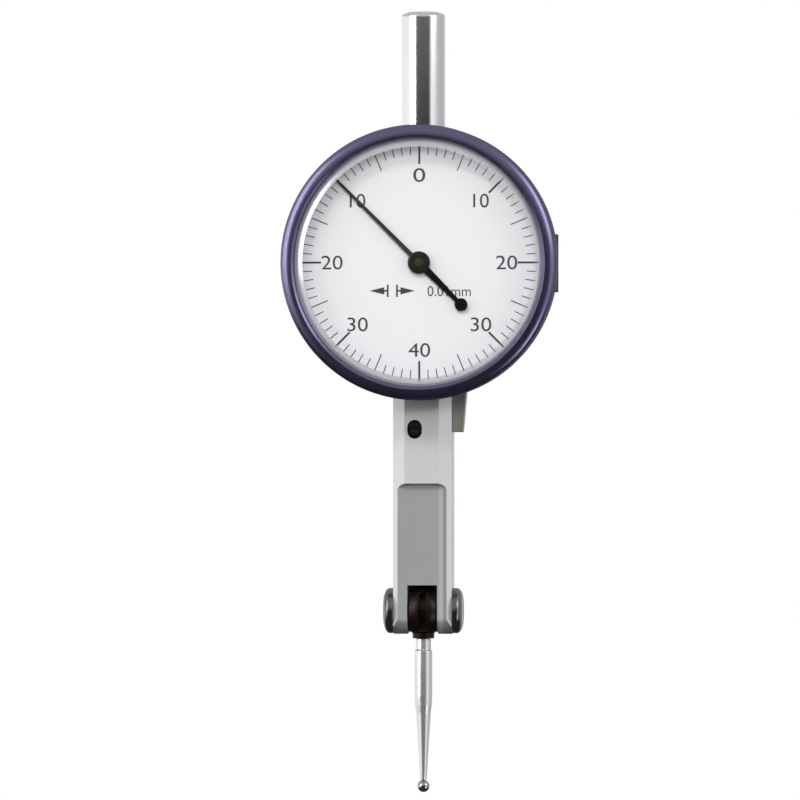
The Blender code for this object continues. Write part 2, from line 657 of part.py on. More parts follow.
def make_dovetails(centre):
    surface = hardened_steel()
    side = prism(
        "side_dovetail", centre, surface, "Y",
        dovetail_outline(SIDE_DOVETAIL_ROOT + SEAT, SIDE_DOVETAIL_FACE),
        *SIDE_DOVETAIL_SPAN,
    )
    head, shank = (1.0 * MM, 0.8 * MM), (0.52 * MM, 2.9 * MM)
    seat = SIDE_DOVETAIL_FACE - head[1] - 0.1 * MM
    for number, depth in enumerate(SIDE_DOVETAIL_SCREW_Y, 1):
        cut(
            side,
            rod(f"side_counterbore_{number}", centre, surface, "X", head[0] + 0.1 * MM,
                seat - SEAT, SIDE_DOVETAIL_FACE + MM, (depth, 0.0), 16),
            rod(f"side_clearance_{number}", centre, surface, "X", 0.6 * MM,
                SIDE_DOVETAIL_ROOT - MM, SIDE_DOVETAIL_FACE, (depth, 0.0), 12),
        )
        slotted_screw(f"side_dovetail_screw_{number}", centre, "X", (depth, 0.0), head, shank, seat, 1.0)
    outline = [(half, depth) for depth, half in dovetail_outline(CASE_BACK + SEAT, BACK_DOVETAIL_FACE)]
    back = prism("back_dovetail", centre, surface, "Z", outline,
                 -BACK_DOVETAIL_HALF_LENGTH, BACK_DOVETAIL_HALF_LENGTH)
    head, shank = (1.1 * MM, 0.8 * MM), (0.58 * MM, 2.9 * MM)
    seat = BACK_DOVETAIL_FACE - head[1] - 0.1 * MM
    for number, level in enumerate(BACK_DOVETAIL_SCREW_Z, 1):
        cut(
            back,
            rod(f"back_counterbore_{number}", centre, surface, "Y", head[0] + 0.1 * MM,
                seat - SEAT, BACK_DOVETAIL_FACE + MM, (0.0, level), 16),
            rod(f"back_clearance_{number}", centre, surface, "Y", 0.65 * MM,
                CASE_BACK - MM, BACK_DOVETAIL_FACE, (0.0, level), 12),
        )
        slotted_screw(f"back_dovetail_screw_{number}", centre, "Y", (0.0, level), head, shank, seat, 1.0)


def make_bezel(axis_mark):
    edge = 0.2 * MM
    bore = REGISTER_RADIUS + 0.08 * MM
    profile = (
        (bore, BEZEL_REAR), (BEZEL_RADIUS - edge, BEZEL_REAR), (BEZEL_RADIUS, BEZEL_REAR - edge),
        (BEZEL_RADIUS, BEZEL_FRONT + 0.7 * MM), (BEZEL_RADIUS - 0.19 * MM, BEZEL_FRONT + 0.24 * MM),
        (BEZEL_CREST_OUT, BEZEL_FRONT), (BEZEL_CREST_IN, BEZEL_FRONT),
        (BEZEL_LIP_RADIUS, BEZEL_LIP_FRONT), (BEZEL_LIP_RADIUS, BEZEL_LIP_BACK),
        (BEZEL_BORE, BEZEL_LIP_BACK),
        (BEZEL_BORE, BEZEL_SHOULDER), (bore, BEZEL_SHOULDER), (bore, SNAP_LOW),
        (bore + SNAP_DEPTH, SNAP_LOW), (bore + SNAP_DEPTH, SNAP_HIGH), (bore, SNAP_HIGH),
    )
    turned("bezel", axis_mark, anodised_blue(), "Y", profile, 60)


def make_dial_stack(axis_mark):
    # Behind the bezel's lip: crystal with its raised middle, spacer, dial and retaining ring
    outer = BEZEL_BORE - SEAT
    crystal_front = BEZEL_LIP_BACK + SEAT
    crystal_back = crystal_front + CRYSTAL_THICK
    profile = (
        (0.0, CRYSTAL_FRONT), (CRYSTAL_FLAT, CRYSTAL_FRONT), (CRYSTAL_NECK, crystal_front - 0.1 * MM),
        (CRYSTAL_NECK, crystal_front), (outer, crystal_front), (outer, crystal_back), (0.0, crystal_back),
    )
    turned("crystal", axis_mark, crystal_clear(), "Y", profile, 40)
    ring("dial_spacer", axis_mark, anodised_blue(), "Y", SPACER_INNER, outer,
         crystal_back + SEAT, DIAL_FRONT - SEAT, 40)
    dial_back = DIAL_FRONT + DIAL_THICK
    ring("dial_face", axis_mark, dial_white(), "Y", DIAL_HOLE, outer, DIAL_FRONT, dial_back, 40)
    ring("dial_retainer", axis_mark, brass(), "Y", RETAINER_INNER, outer,
         dial_back + SEAT, dial_back + SEAT + RETAINER_THICK, 40)


def make_snap_ring(centre):
    # Spring-wire ring, open by a few degrees, that sits in both grooves and keeps the bezel on
    inner = REGISTER_RADIUS - SNAP_DEPTH + 0.05 * MM
    outer = REGISTER_RADIUS + SNAP_DEPTH
    sections = []
    for k in range(41):
        angle = math.radians(100.0 + 340.0 * k / 40)
        across = (math.cos(angle), math.sin(angle))
        sections.append([
            (radius * across[0], along, radius * across[1])
            for radius, along in (
                (inner, SNAP_LOW + 0.05 * MM), (outer, SNAP_LOW + 0.05 * MM),
                (outer, SNAP_HIGH - 0.05 * MM), (inner, SNAP_HIGH - 0.05 * MM),
            )
        ])
    lofted("bezel_snap_ring", centre, bright_steel(), sections)


def pointer_outline():
    # Hand up, tail down: a slim tapered hand, a disc round the arbor, and a tail with a round end
    def rim(radius, half):
        return math.sqrt(radius * radius - half * half)

    disc_right = math.degrees(math.acos(POINTER_ROOT_HALF / POINTER_DISC))
    disc_low = -math.degrees(math.acos(TAIL_ROOT_HALF / POINTER_DISC))
    end_start = math.degrees(math.asin(TAIL_END_HALF / TAIL_DISC))
    right = [(POINTER_TIP_HALF, POINTER_LENGTH)]
    right += arc(POINTER_DISC, disc_right, disc_low, 6)
    right += [(TAIL_END_HALF, -TAIL_LENGTH + rim(TAIL_DISC, TAIL_END_HALF))]
    right += arc(TAIL_DISC, 90.0 - end_start, -90.0, 8, (0.0, -TAIL_LENGTH))[1:]
    left = [(-x, z) for x, z in reversed(right[:-1])]
    return right + left


def make_pointer(axis_mark):
    back = POINTER_FRONT + POINTER_THICK
    hand = prism("pointer", axis_mark, pointer_paint(), "Y", pointer_outline(), POINTER_FRONT, back)
    cut(hand, rod("pointer_hole_cut", axis_mark, pointer_paint(), "Y", 0.6 * MM,
                  POINTER_FRONT - MM, back + MM, segments=16))
    hand.rotation_euler[1] = math.radians(POINTER_REST_ANGLE)
    front = POINTER_FRONT - 0.4 * MM
    profile = (
        (0.0, front), (0.55 * MM, front), (0.62 * MM, front + 0.1 * MM), (1.3 * MM, front + 0.14 * MM),
        (POINTER_BOSS, front + 0.25 * MM), (POINTER_BOSS, POINTER_FRONT - 0.04 * MM),
        (0.55 * MM, POINTER_FRONT - 0.04 * MM), (0.55 * MM, -8.75 * MM),
        (CENTRE_ARBOR_RADIUS + 0.03 * MM, -8.75 * MM),
        (CENTRE_ARBOR_RADIUS + 0.03 * MM, front + 0.22 * MM), (0.0, front + 0.22 * MM),
    )
    turned("pointer_boss", axis_mark, pointer_paint(), "Y", profile, 16)
    low, high = CENTRE_PINION_SPAN
    profile = (
        (0.0, front + 0.26 * MM), (CENTRE_ARBOR_RADIUS, front + 0.26 * MM),
        (CENTRE_ARBOR_RADIUS, high - 0.05 * MM), (CENTRE_PIVOT_RADIUS, high),
        (CENTRE_PIVOT_RADIUS, COCK_SPAN[1] - 0.15 * MM), (0.0, COCK_SPAN[1] - 0.15 * MM),
    )
    arbor = turned("centre_arbor", axis_mark, bright_steel(), "Y", profile, 12)
    leaves = tooth_outline(CENTRE_PINION_LEAVES, CENTRE_PINION_RADIUS, 0.0, CENTRE_PINION_LEAVES)
    join(arbor, prism("centre_pinion", axis_mark, bright_steel(), "Y", leaves, low, high))


def make_jewels(centre):
    ring("front_jewel", centre, ruby(), "Y", CENTRE_ARBOR_RADIUS + RUNNING, 0.75 * MM,
         REGISTER_FRONT + 0.1 * MM, WEB_BACK - 0.1 * MM, 20)
    ring("rear_jewel", centre, ruby(), "Y", CENTRE_PIVOT_RADIUS + RUNNING, JEWEL_RADIUS,
         COCK_SPAN[0] + 0.1 * MM, COCK_SPAN[1] - 0.1 * MM, 20)


def movement_plate(name, centre, span, foot):
    # Flat plate across X with bearing holes, and a foot on the front web
    outline = [
        (PLATE_FRONT, PLATE_BOTTOM + MM), (PLATE_FRONT + MM, PLATE_BOTTOM),
        (PLATE_BACK - 2.5 * MM, PLATE_BOTTOM), (PLATE_BACK, PLATE_BOTTOM + 2.5 * MM),
        (PLATE_BACK, 3.6 * MM), (-0.6 * MM, PLATE_TOP), (-3.4 * MM, PLATE_TOP), (PLATE_FRONT, 3.4 * MM),
    ]
    plate = prism(name, centre, brass(), "X", outline, *span)
    join(plate, block(
        f"{name}_foot", centre, brass(),
        (foot[0], PLATE_FRONT, FOOT_SPAN[0]), (foot[1], PLATE_FRONT + FOOT_THICK, FOOT_SPAN[1]),
    ))
    holes = {
        "crown": ((CROWN_Y, 0.0), CROWN_ARBOR_RADIUS + RUNNING),
        "sector": ((0.0, SECTOR_Z), SECTOR_ARBOR_RADIUS + RUNNING),
    }
    holes.update({pillar: (place, 0.5 * MM) for pillar, place in PILLARS.items()})
    for hole, (place, radius) in holes.items():
        cut(plate, rod(f"{name}_{hole}_hole", centre, brass(), "X", radius,
                       span[0] - MM, span[1] + MM, place, 12))
    return plate


def make_frame(centre):
    left_foot = (LEFT_PLATE[0] - FOOT_LENGTH, LEFT_PLATE[0] + 0.2 * MM)
    right_foot = (RIGHT_PLATE[1] - 0.2 * MM, RIGHT_PLATE[1] + FOOT_LENGTH)
    left = movement_plate("left_plate", centre, LEFT_PLATE, left_foot)
    right = movement_plate("right_plate", centre, RIGHT_PLATE, right_foot)
    seat = PLATE_FRONT + FOOT_THICK + SEAT
    for number, (plate, x) in enumerate(zip((left, right), foot_places()), 1):
        cut(plate, rod(f"foot_hole_{number}", centre, brass(), "Y", 0.5 * MM,
                       PLATE_FRONT - MM, seat + MM, (x, FRAME_SCREW_Z), 12))
        slotted_screw(f"frame_screw_{number}", centre, "Y", (x, FRAME_SCREW_Z),
                      (0.9 * MM, 0.55 * MM), (0.42 * MM, 1.35 * MM), seat, 1.0)
    for name, place in PILLARS.items():
        inner, spigot = (LEFT_PLATE[1] + SEAT, RIGHT_PLATE[0] - SEAT), 0.45 * MM
        profile = (
            (0.0, LEFT_PLATE[0]), (spigot, LEFT_PLATE[0]), (spigot, inner[0]),
            (PILLAR_RADIUS, inner[0]), (PILLAR_RADIUS, inner[1]), (spigot, inner[1]),
            (spigot, RIGHT_PLATE[1]), (0.0, RIGHT_PLATE[1]),
        )
        turned(name, centre, bright_steel(), "X", profile, 10, place)
    cut(left, rod("cock_thread_cut", centre, brass(), "X", 0.4 * MM,
                  LEFT_PLATE[0] - MM, LEFT_PLATE[1] + MM, COCK_SCREW, 12))


def make_cock(centre):
    # Bridge from the left plate that carries the rear bearing of the centre arbor
    start = LEFT_PLATE[1] + SEAT
    cock = block("pointer_cock", centre, brass(), (start, COCK_SPAN[0], -COCK_HALF_HEIGHT),
                 (COCK_END, COCK_SPAN[1], COCK_HALF_HEIGHT))
    foot_inner = start + 0.7 * MM
    join(cock, block("cock_foot", centre, brass(), (start, -5.7 * MM, -2.75 * MM),
                     (foot_inner, COCK_SPAN[1], -0.5 * MM)))
    cut(
        cock,
        rod("cock_jewel_seat", centre, brass(), "Y", JEWEL_RADIUS + SEAT,
            COCK_SPAN[0] - MM, COCK_SPAN[1] + MM, segments=20),
        rod("cock_screw_hole", centre, brass(), "X", 0.42 * MM, start - MM, foot_inner + MM,
            COCK_SCREW, 12),
    )
    slotted_screw("cock_screw", centre, "X", COCK_SCREW, (0.62 * MM, 0.45 * MM),
                  (0.35 * MM, 1.2 * MM), foot_inner + SEAT, 1.0)


def make_crown(axis_mark):
    # Ring of face teeth: the height of the tooth line follows the angle round the crown
    step = 2.0 * math.pi / CROWN_TEETH
    tip = CENTRE_PINION_RADIUS - 0.7 * MODULE
    root = CENTRE_PINION_RADIUS + 1.0 * MODULE
    half_tip = 0.11 * math.pi * MODULE / CROWN_RADIUS
    half_root = 0.22 * math.pi * MODULE / CROWN_RADIUS
    corners = []
    for k in range(CROWN_TEETH):
        middle = math.pi + (k + 0.5) * step
        corners += [(middle - half_root, root), (middle - half_tip, tip)]
        corners += [(middle + half_tip, tip), (middle + half_root, root)]
    inner, outer = CROWN_FACE
    build = bmesh.new()
    loops = [
        [
            build.verts.new((along, radius * math.cos(angle), radius * math.sin(angle)))
            for radius, along in (
                (outer, CROWN_BACK), (outer, height), (inner, height), (inner, CROWN_BACK),
            )
        ]
        for angle, height in corners
    ]
    for here, there in zip(loops, loops[1:] + loops[:1]):
        for k in range(4):
            after = (k + 1) % 4
            build.faces.new((here[k], here[after], there[after], there[k]))
    crown = add_object("crown_wheel", build, axis_mark, brass(), 20.0)
    hub_profile = (
        (CROWN_ARBOR_RADIUS + 0.02 * MM, 0.55 * MM), (0.9 * MM, 0.55 * MM), (0.9 * MM, CROWN_WEB),
        (inner + 0.2 * MM, CROWN_WEB), (inner + 0.2 * MM, CROWN_BACK - 0.2 * MM),
        (CROWN_ARBOR_RADIUS + 0.02 * MM, CROWN_BACK - 0.2 * MM),
    )
    join(crown, turned("crown_web", axis_mark, brass(), "X", hub_profile, 18))
    arbor = rod("crown_arbor", axis_mark, bright_steel(), "X", CROWN_ARBOR_RADIUS,
                LEFT_PLATE[0] + 0.1 * MM, RIGHT_PLATE[1] - 0.1 * MM, segments=12)
    towards_sector = math.atan2(SECTOR_Z, -CROWN_Y)
    leaves = tooth_outline(CROWN_PINION_LEAVES, CROWN_PINION_RADIUS, towards_sector, CROWN_PINION_LEAVES)
    join(arbor, prism("crown_pinion", axis_mark, bright_steel(), "X", leaves, *CROWN_PINION_SPAN))
    ring("hairspring_collet", axis_mark, brass(), "X", CROWN_ARBOR_RADIUS + 0.02 * MM, 0.68 * MM,
         HAIRSPRING_PLANE[0] - 0.1 * MM, HAIRSPRING_PLANE[1] + 0.1 * MM, 16)


def make_hairspring(centre):
    # Flat spiral round the crown arbor, with its outer end at the stud on the left plate
    steps = int(HAIRSPRING_TURNS * 16)
    sections = []
    for k in range(steps + 1):
        share = k / steps
        angle = math.radians(90.0 - 360.0 * HAIRSPRING_TURNS * (1.0 - share))
        middle = HAIRSPRING_RADII[0] + (HAIRSPRING_RADII[1] - HAIRSPRING_RADII[0]) * share
        inside, outside = middle - 0.5 * HAIRSPRING_THICK, middle + 0.5 * HAIRSPRING_THICK
        sections.append([
            (along, CROWN_Y + radius * math.cos(angle), radius * math.sin(angle))
            for radius, along in (
                (inside, HAIRSPRING_PLANE[0]), (outside, HAIRSPRING_PLANE[0]),
                (outside, HAIRSPRING_PLANE[1]), (inside, HAIRSPRING_PLANE[1]),
            )
        ])
    lofted("hairspring", centre, bright_steel(), sections)
    rod("hairspring_stud", centre, brass(), "X", 0.25 * MM, LEFT_PLATE[1] + SEAT, HAIRSPRING_PLANE[1],
        (CROWN_Y - 0.1 * MM, HAIRSPRING_RADII[1] + 0.36 * MM), 10)


def make_sector(axis_mark):
    # Toothed sector on top, and a forked arm below that the drive pin works in
    step = 2.0 * math.pi / SECTOR_TEETH
    towards_crown = math.atan2(-SECTOR_Z, CROWN_Y)
    first = towards_crown - (0.5 * TEETH_ON_SECTOR - 0.5) * step
    outline = tooth_outline(SECTOR_TEETH, SECTOR_RADIUS, first, TEETH_ON_SECTOR)
    prong_end = -SECTOR_ARM - 1.0 * MM
    gap = DRIVE_PIN_RADIUS + 0.04 * MM
    gap_top = -SECTOR_ARM + 0.75 * MM
    outline += [
        (-1.15 * MM, 0.2 * MM), (-0.95 * MM, -1.5 * MM), (-0.95 * MM, prong_end), (-gap, prong_end),
        (-gap, gap_top), (gap, gap_top), (gap, prong_end), (0.95 * MM, prong_end),
        (0.95 * MM, -1.5 * MM), (1.15 * MM, 0.2 * MM),
    ]
    lever = prism("sector_lever", axis_mark, brass(), "X", outline, *SECTOR_PLANE)
    cut(lever, rod("sector_hole_cut", axis_mark, brass(), "X", SECTOR_ARBOR_RADIUS + 0.02 * MM,
                   SECTOR_PLANE[0] - MM, SECTOR_PLANE[1] + MM, segments=12))
    rod("sector_arbor", axis_mark, bright_steel(), "X", SECTOR_ARBOR_RADIUS,
        LEFT_PLATE[0] + 0.1 * MM, RIGHT_PLATE[1] - 0.1 * MM, segments=12)


def make_measuring_lever(axis_mark):
    start = math.degrees(math.asin(LEVER_HALF_WIDTH / LEVER_DISC))
    outline = arc(LEVER_DISC, 90.0 + start, 450.0 - start, 24)
    outline += arc(LEVER_HALF_WIDTH, 0.0, 180.0, 6, (0.0, LEVER_ARM))
    lever = prism("measuring_lever", axis_mark, bright_steel(), "X", outline,
                  -LEVER_HALF_THICK, LEVER_HALF_THICK)
    cut(
        lever,
        rod("lever_shaft_hole", axis_mark, bright_steel(), "X", SHAFT_RADIUS + 0.02 * MM,
            -2.0 * MM, 2.0 * MM, segments=16),
        rod("lever_pin_hole", axis_mark, bright_steel(), "X", DRIVE_PIN_RADIUS + 0.02 * MM,
            -2.0 * MM, 2.0 * MM, (0.0, LEVER_ARM), 12),
    )
    rod("drive_pin", axis_mark, bright_steel(), "X", DRIVE_PIN_RADIUS,
        SECTOR_PLANE[0] - 0.1 * MM, LEVER_HALF_THICK, (0.0, LEVER_ARM), 12)
    shoulder, end = FORK_HALF_WIDTH - 0.05 * MM, FORK_HALF_WIDTH + 0.95 * MM
    profile = (
        (0.0, -end), (SHAFT_PIVOT_RADIUS, -end), (SHAFT_PIVOT_RADIUS, -shoulder),
        (SHAFT_RADIUS, -shoulder), (SHAFT_RADIUS, shoulder), (SHAFT_PIVOT_RADIUS, shoulder),
        (SHAFT_PIVOT_RADIUS, end), (0.0, end),
    )
    turned("pivot_shaft", axis_mark, bright_steel(), "X", profile, 12)


def make_hub(axis_mark):
    # Ball with flat sides round the shaft. Its slot takes the lever's disc, and is closed only
    # by the bridge on the side of the stylus
    sphere = [
        (HUB_RADIUS * math.cos(math.asin(x / HUB_RADIUS)), x)
        for x in (HUB_HALF_WIDTH * k / 2.0 for k in range(-2, 3))
    ]
    profile = [(SHAFT_RADIUS + RUNNING, -HUB_HALF_WIDTH)] + sphere
    profile += [(SHAFT_RADIUS + RUNNING, HUB_HALF_WIDTH)]
    hub = turned("stylus_hub", axis_mark, black_steel(), "X", profile, 32)
    join(hub, rod("hub_boss", axis_mark, black_steel(), "Z", HUB_BOSS_RADIUS, -HUB_BOSS_END, -2.9 * MM,
                  segments=24))
    half = LEVER_HALF_THICK + RUNNING
    inner, outer = LEVER_DISC + 0.1 * MM, HUB_RADIUS + 2.0 * MM
    bridge = HUB_BRIDGE_ANGLE
    outline = arc(inner, 270.0 - bridge, 270.0 + bridge, 10)
    outline += arc(outer, 270.0 + bridge, 630.0 - bridge, 24)
    slot = prism("hub_slot", axis_mark, black_steel(), "X", outline, -half, half)
    thread = rod("hub_thread", axis_mark, black_steel(), "Z", STYLUS_THREAD_RADIUS + SEAT,
                 -HUB_BOSS_END - MM, -2.3 * MM, segments=16)
    cut(hub, slot, thread)
    for name, side in (("left_hub_washer", -1.0), ("right_hub_washer", 1.0)):
        near = side * (HUB_HALF_WIDTH + 0.04 * MM)
        far = side * (FORK_HALF_WIDTH - 0.05 * MM)
        ring(name, axis_mark, black_steel(), "X", SHAFT_RADIUS + RUNNING, WASHER_RADIUS,
             min(near, far), max(near, far), 20)


def make_stylus(axis_mark):
    profile = [(0.0, -2.65 * MM), (STYLUS_THREAD_RADIUS, -2.65 * MM), (STYLUS_THREAD_RADIUS, -3.87 * MM)]
    profile += [(radius * MM, -depth * MM) for radius, depth in STYLUS_PROFILE]
    tip_pin_end = -MEASURING_LENGTH + BALL_RADIUS - 0.5 * MM
    profile += [
        (TIP_PIN_RADIUS, -STYLUS_PROFILE[-1][1] * MM), (TIP_PIN_RADIUS, tip_pin_end), (0.0, tip_pin_end),
    ]
    turned("stylus", axis_mark, bright_steel(), "Z", profile, 18)
    hole = TIP_PIN_RADIUS + 0.04 * MM
    start = math.degrees(math.asin(hole / BALL_RADIUS))
    floor = BALL_RADIUS - 0.6 * MM
    rim = arc(BALL_RADIUS, 90.0 - start, -90.0, 8)
    profile = [(0.0, floor - MEASURING_LENGTH), (hole, floor - MEASURING_LENGTH)]
    profile += [(max(radius, 0.0), along - MEASURING_LENGTH) for radius, along in rim[:-1]]
    profile += [(0.0, -BALL_RADIUS - MEASURING_LENGTH)]
    turned("contact_ball", axis_mark, carbide(), "Z", profile, 14)


def make_pivot_caps(axis_mark):
    # Domed screws in the ears, whose hollow ends carry the lever shaft
    for name, side in (("left_pivot_cap", -1.0), ("right_pivot_cap", 1.0)):
        base = ARM_HALF_WIDTH + SEAT
        bore = SHAFT_PIVOT_RADIUS + RUNNING
        inner = FORK_HALF_WIDTH + 0.03 * MM
        dome = []
        for k in range(5):
            share = k / 4.0
            radius = CAP_FLAT + (CAP_RADIUS - CAP_FLAT) * math.cos(0.5 * math.pi * share)
            height = CAP_RIM + (CAP_HEIGHT - CAP_RIM) * math.sin(0.5 * math.pi * share)
            dome.append((radius, side * (base + height)))
        profile = [
            (0.0, side * (FORK_HALF_WIDTH + 1.05 * MM)), (bore, side * (FORK_HALF_WIDTH + 1.05 * MM)),
            (bore, side * inner), (CAP_SHANK_RADIUS, side * inner), (CAP_SHANK_RADIUS, side * base),
            (CAP_RADIUS, side * base),
        ]
        profile += dome + [(0.0, side * (base + CAP_HEIGHT))]
        cap = turned(name, axis_mark, polished_chrome(), "X", profile, 24)
        top = base + CAP_HEIGHT
        span = sorted((side * (top - 0.4 * MM), side * (top + MM)))
        cut(cap, block(f"{name}_slot", axis_mark, polished_chrome(),
                       (span[0], -0.25 * MM, -2.0 * MM), (span[1], 0.25 * MM, 2.0 * MM)))


def make_changeover(axis_mark):
    # Lever blade in side view, met with its front view: it steps in under the boss, follows the
    # arm down, and leans in towards the tip on its outer side
    reach = 2.0 * MM
    tip_half = 0.95 * MM
    side = arc(CHANGEOVER_BOSS, -35.0, 215.0, 14) + [(-tip_half - 0.15 * MM, CHANGEOVER_TIP + 0.2 * MM)]
    side += [(-tip_half, CHANGEOVER_TIP), (tip_half, CHANGEOVER_TIP)]
    side += [(tip_half + 0.15 * MM, CHANGEOVER_TIP + 0.2 * MM)]
    boss_x = ARM_HALF_WIDTH + 0.65 * MM
    tip_x = ARM_HALF_WIDTH + 0.07 * MM
    blade = prism("changeover_lever", axis_mark, hardened_steel(), "X", side, 3.0 * MM, 8.0 * MM)
    bend, thick = -1.2 * MM, CHANGEOVER_THICK
    step = -CHANGEOVER_BOSS - 0.2 * MM
    front = [
        (boss_x, reach), (boss_x, step), (tip_x, step - 0.1 * MM), (tip_x, CHANGEOVER_TIP - MM),
        (tip_x + thick, CHANGEOVER_TIP - MM), (boss_x + thick, bend), (boss_x + thick, reach),
    ]
    meet(blade, prism("changeover_front_view", axis_mark, hardened_steel(), "Y", front,
                      -3.0 * MM, 3.0 * MM))
    shoulder = ARM_HALF_WIDTH + 0.6 * MM
    cut(blade, rod("changeover_eye", axis_mark, hardened_steel(), "X", 0.62 * MM,
                   boss_x - MM, boss_x + thick + MM, segments=12))
    profile = (
        (0.0, 0.7 * MM), (0.55 * MM, 0.7 * MM), (CHANGEOVER_SPINDLE, 1.0 * MM),
        (CHANGEOVER_SPINDLE, shoulder), (0.6 * MM, shoulder), (0.6 * MM, boss_x + thick - 0.1 * MM),
        (0.36 * MM, boss_x + thick - 0.1 * MM), (0.36 * MM, shoulder - 0.6 * MM),
        (0.0, shoulder - 0.6 * MM),
    )
    turned("changeover_spindle", axis_mark, bright_steel(), "X", profile, 12)
    slotted_screw("changeover_screw", axis_mark, "X", (0.0, 0.0), (1.05 * MM, 0.5 * MM),
                  (0.32 * MM, 1.6 * MM), boss_x + thick + SEAT, 1.0)


def make_span_screw(centre):
    seat = ARM_FRONT + SPAN_POCKET_DEPTH - SEAT
    slotted_screw("span_screw", centre, "Y", (SPAN_SCREW_X, SPAN_SCREW_Z), (0.9 * MM, 0.6 * MM),
                  (0.5 * MM, 1.2 * MM), seat, -1.0, surface=black_steel())


def main():
    clear_scene()
    centre = place_empty("dial_centre", None, (0.0, 0.0, DIAL_Z))
    bezel_axis = place_empty("bezel_axis", centre, (0.0, 0.0, 0.0))
    pointer_axis = place_empty("pointer_axis", centre, (0.0, 0.0, 0.0))
    crown_axis = place_empty("crown_axis", centre, (0.0, CROWN_Y, 0.0))
    sector_axis = place_empty("sector_axis", centre, (0.0, 0.0, SECTOR_Z))
    lever_axis = place_empty("lever_axis", centre, (0.0, 0.0, PIVOT_Z))
    stylus_axis = place_empty("stylus_axis", lever_axis, (0.0, 0.0, 0.0))
    changeover_axis = place_empty("changeover_axis", centre, (0.0, CHANGEOVER_Y, CHANGEOVER_Z))
    cap_place = place_empty("cap_place", centre, (0.0, 0.0, PIVOT_Z))

    make_housing(centre)
    make_covers(centre)
    make_stem(centre)
    make_dovetails(centre)
    make_snap_ring(centre)
    make_jewels(centre)
    make_frame(centre)
    make_cock(centre)
    make_hairspring(centre)
    make_pivot_caps(cap_place)
    make_span_screw(centre)
    make_bezel(bezel_axis)
    make_dial_stack(bezel_axis)
    make_pointer(pointer_axis)
    make_crown(crown_axis)
    make_sector(sector_axis)
    make_measuring_lever(lever_axis)
    make_hub(stylus_axis)
    make_stylus(stylus_axis)
    make_changeover(changeover_axis)


main()
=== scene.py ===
import math

import bmesh
import bpy
import numpy as np
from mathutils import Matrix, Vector


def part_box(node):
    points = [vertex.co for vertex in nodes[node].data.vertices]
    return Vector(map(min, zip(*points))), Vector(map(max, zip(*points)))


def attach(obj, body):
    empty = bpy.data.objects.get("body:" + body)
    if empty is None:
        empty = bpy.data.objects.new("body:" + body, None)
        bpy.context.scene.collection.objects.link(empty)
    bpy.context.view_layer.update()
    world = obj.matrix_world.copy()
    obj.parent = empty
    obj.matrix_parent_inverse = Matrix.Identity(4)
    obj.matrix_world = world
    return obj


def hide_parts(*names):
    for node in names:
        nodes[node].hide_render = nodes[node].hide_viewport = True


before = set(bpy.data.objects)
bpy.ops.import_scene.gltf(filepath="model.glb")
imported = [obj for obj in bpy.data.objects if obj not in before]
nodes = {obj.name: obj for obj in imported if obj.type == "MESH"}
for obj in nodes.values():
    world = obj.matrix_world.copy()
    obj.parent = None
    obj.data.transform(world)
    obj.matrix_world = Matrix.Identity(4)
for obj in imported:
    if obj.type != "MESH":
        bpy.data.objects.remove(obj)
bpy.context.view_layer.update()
mm = 0.001

# Heights of the main axes in the frame, in mm. The stem and the arm lie about y = 0
heights = {"dial": -26.4, "pivot": -73.9, "stemTop": 8.0, "contact": -97.9}


# Mesh helpers. Every shape below is worked out as a whole array of points


def addToScene(name, data):
    piece = bpy.data.objects.new(name, data)
    bpy.context.scene.collection.objects.link(piece)
    return piece


def gridPiece(name, points, closeAlong=False, smoothAngle=35.0):
    # Points has shape (rows, columns, 3). Quads join each row to the next, and each column to the
    # next and the last to the first
    rows, columns = points.shape[:2]
    index = np.arange(rows * columns).reshape(rows, columns)
    if closeAlong:
        index = np.vstack([index, index[:1]])
    index = np.hstack([index, index[:, :1]])
    quads = np.stack([index[:-1, :-1], index[:-1, 1:], index[1:, 1:], index[1:, :-1]], axis=-1)
    return polygonPiece(name, points.reshape(-1, 3), quads.reshape(-1, 4), smoothAngle)


def polygonPiece(name, points, faces, smoothAngle=35.0):
    mesh = bpy.data.meshes.new(name)
    mesh.from_pydata(np.asarray(points).tolist(), [], np.asarray(faces).tolist())
    piece = addToScene(name, mesh)
    tidyMesh(piece, smoothAngle)
    return piece


def tidyMesh(piece, smoothAngle):
    # Merges doubled points at seams and poles, turns the faces outwards, and shades the mesh smooth
    shell = bmesh.new()
    shell.from_mesh(piece.data)
    bmesh.ops.remove_doubles(shell, verts=shell.verts, dist=1e-7)
    bmesh.ops.dissolve_degenerate(shell, edges=shell.edges, dist=1e-8)
    bmesh.ops.recalc_face_normals(shell, faces=shell.faces)
    shell.to_mesh(piece.data)
    shell.free()
    piece.data.shade_smooth()
    piece.data.set_sharp_from_angle(angle=math.radians(smoothAngle))


def roundedProfile(corners, steps=5):
    # Each corner is (radius, along, rounding) in mm: a corner with rounding becomes a quadratic
    # curve that starts and ends that far away along its two sides
    spots = np.array([corner[:2] for corner in corners], dtype=float)
    points = [spots[0]]
    for k in range(1, len(spots) - 1):
        reach = corners[k][2] if len(corners[k]) > 2 else 0.0
        if reach == 0.0:
            points.append(spots[k])
            continue
        before, after = spots[k - 1] - spots[k], spots[k + 1] - spots[k]
        sides = np.linalg.norm(before), np.linalg.norm(after)
        start = spots[k] + before / sides[0] * min(reach, 0.5 * sides[0])
        end = spots[k] + after / sides[1] * min(reach, 0.5 * sides[1])
        share = np.linspace(0.0, 1.0, steps + 1)[:, None]
        curve = (1 - share) ** 2 * start + 2 * share * (1 - share) * spots[k] + share**2 * end
        points.extend(curve)
    points.append(spots[-1])
    return np.array(points)


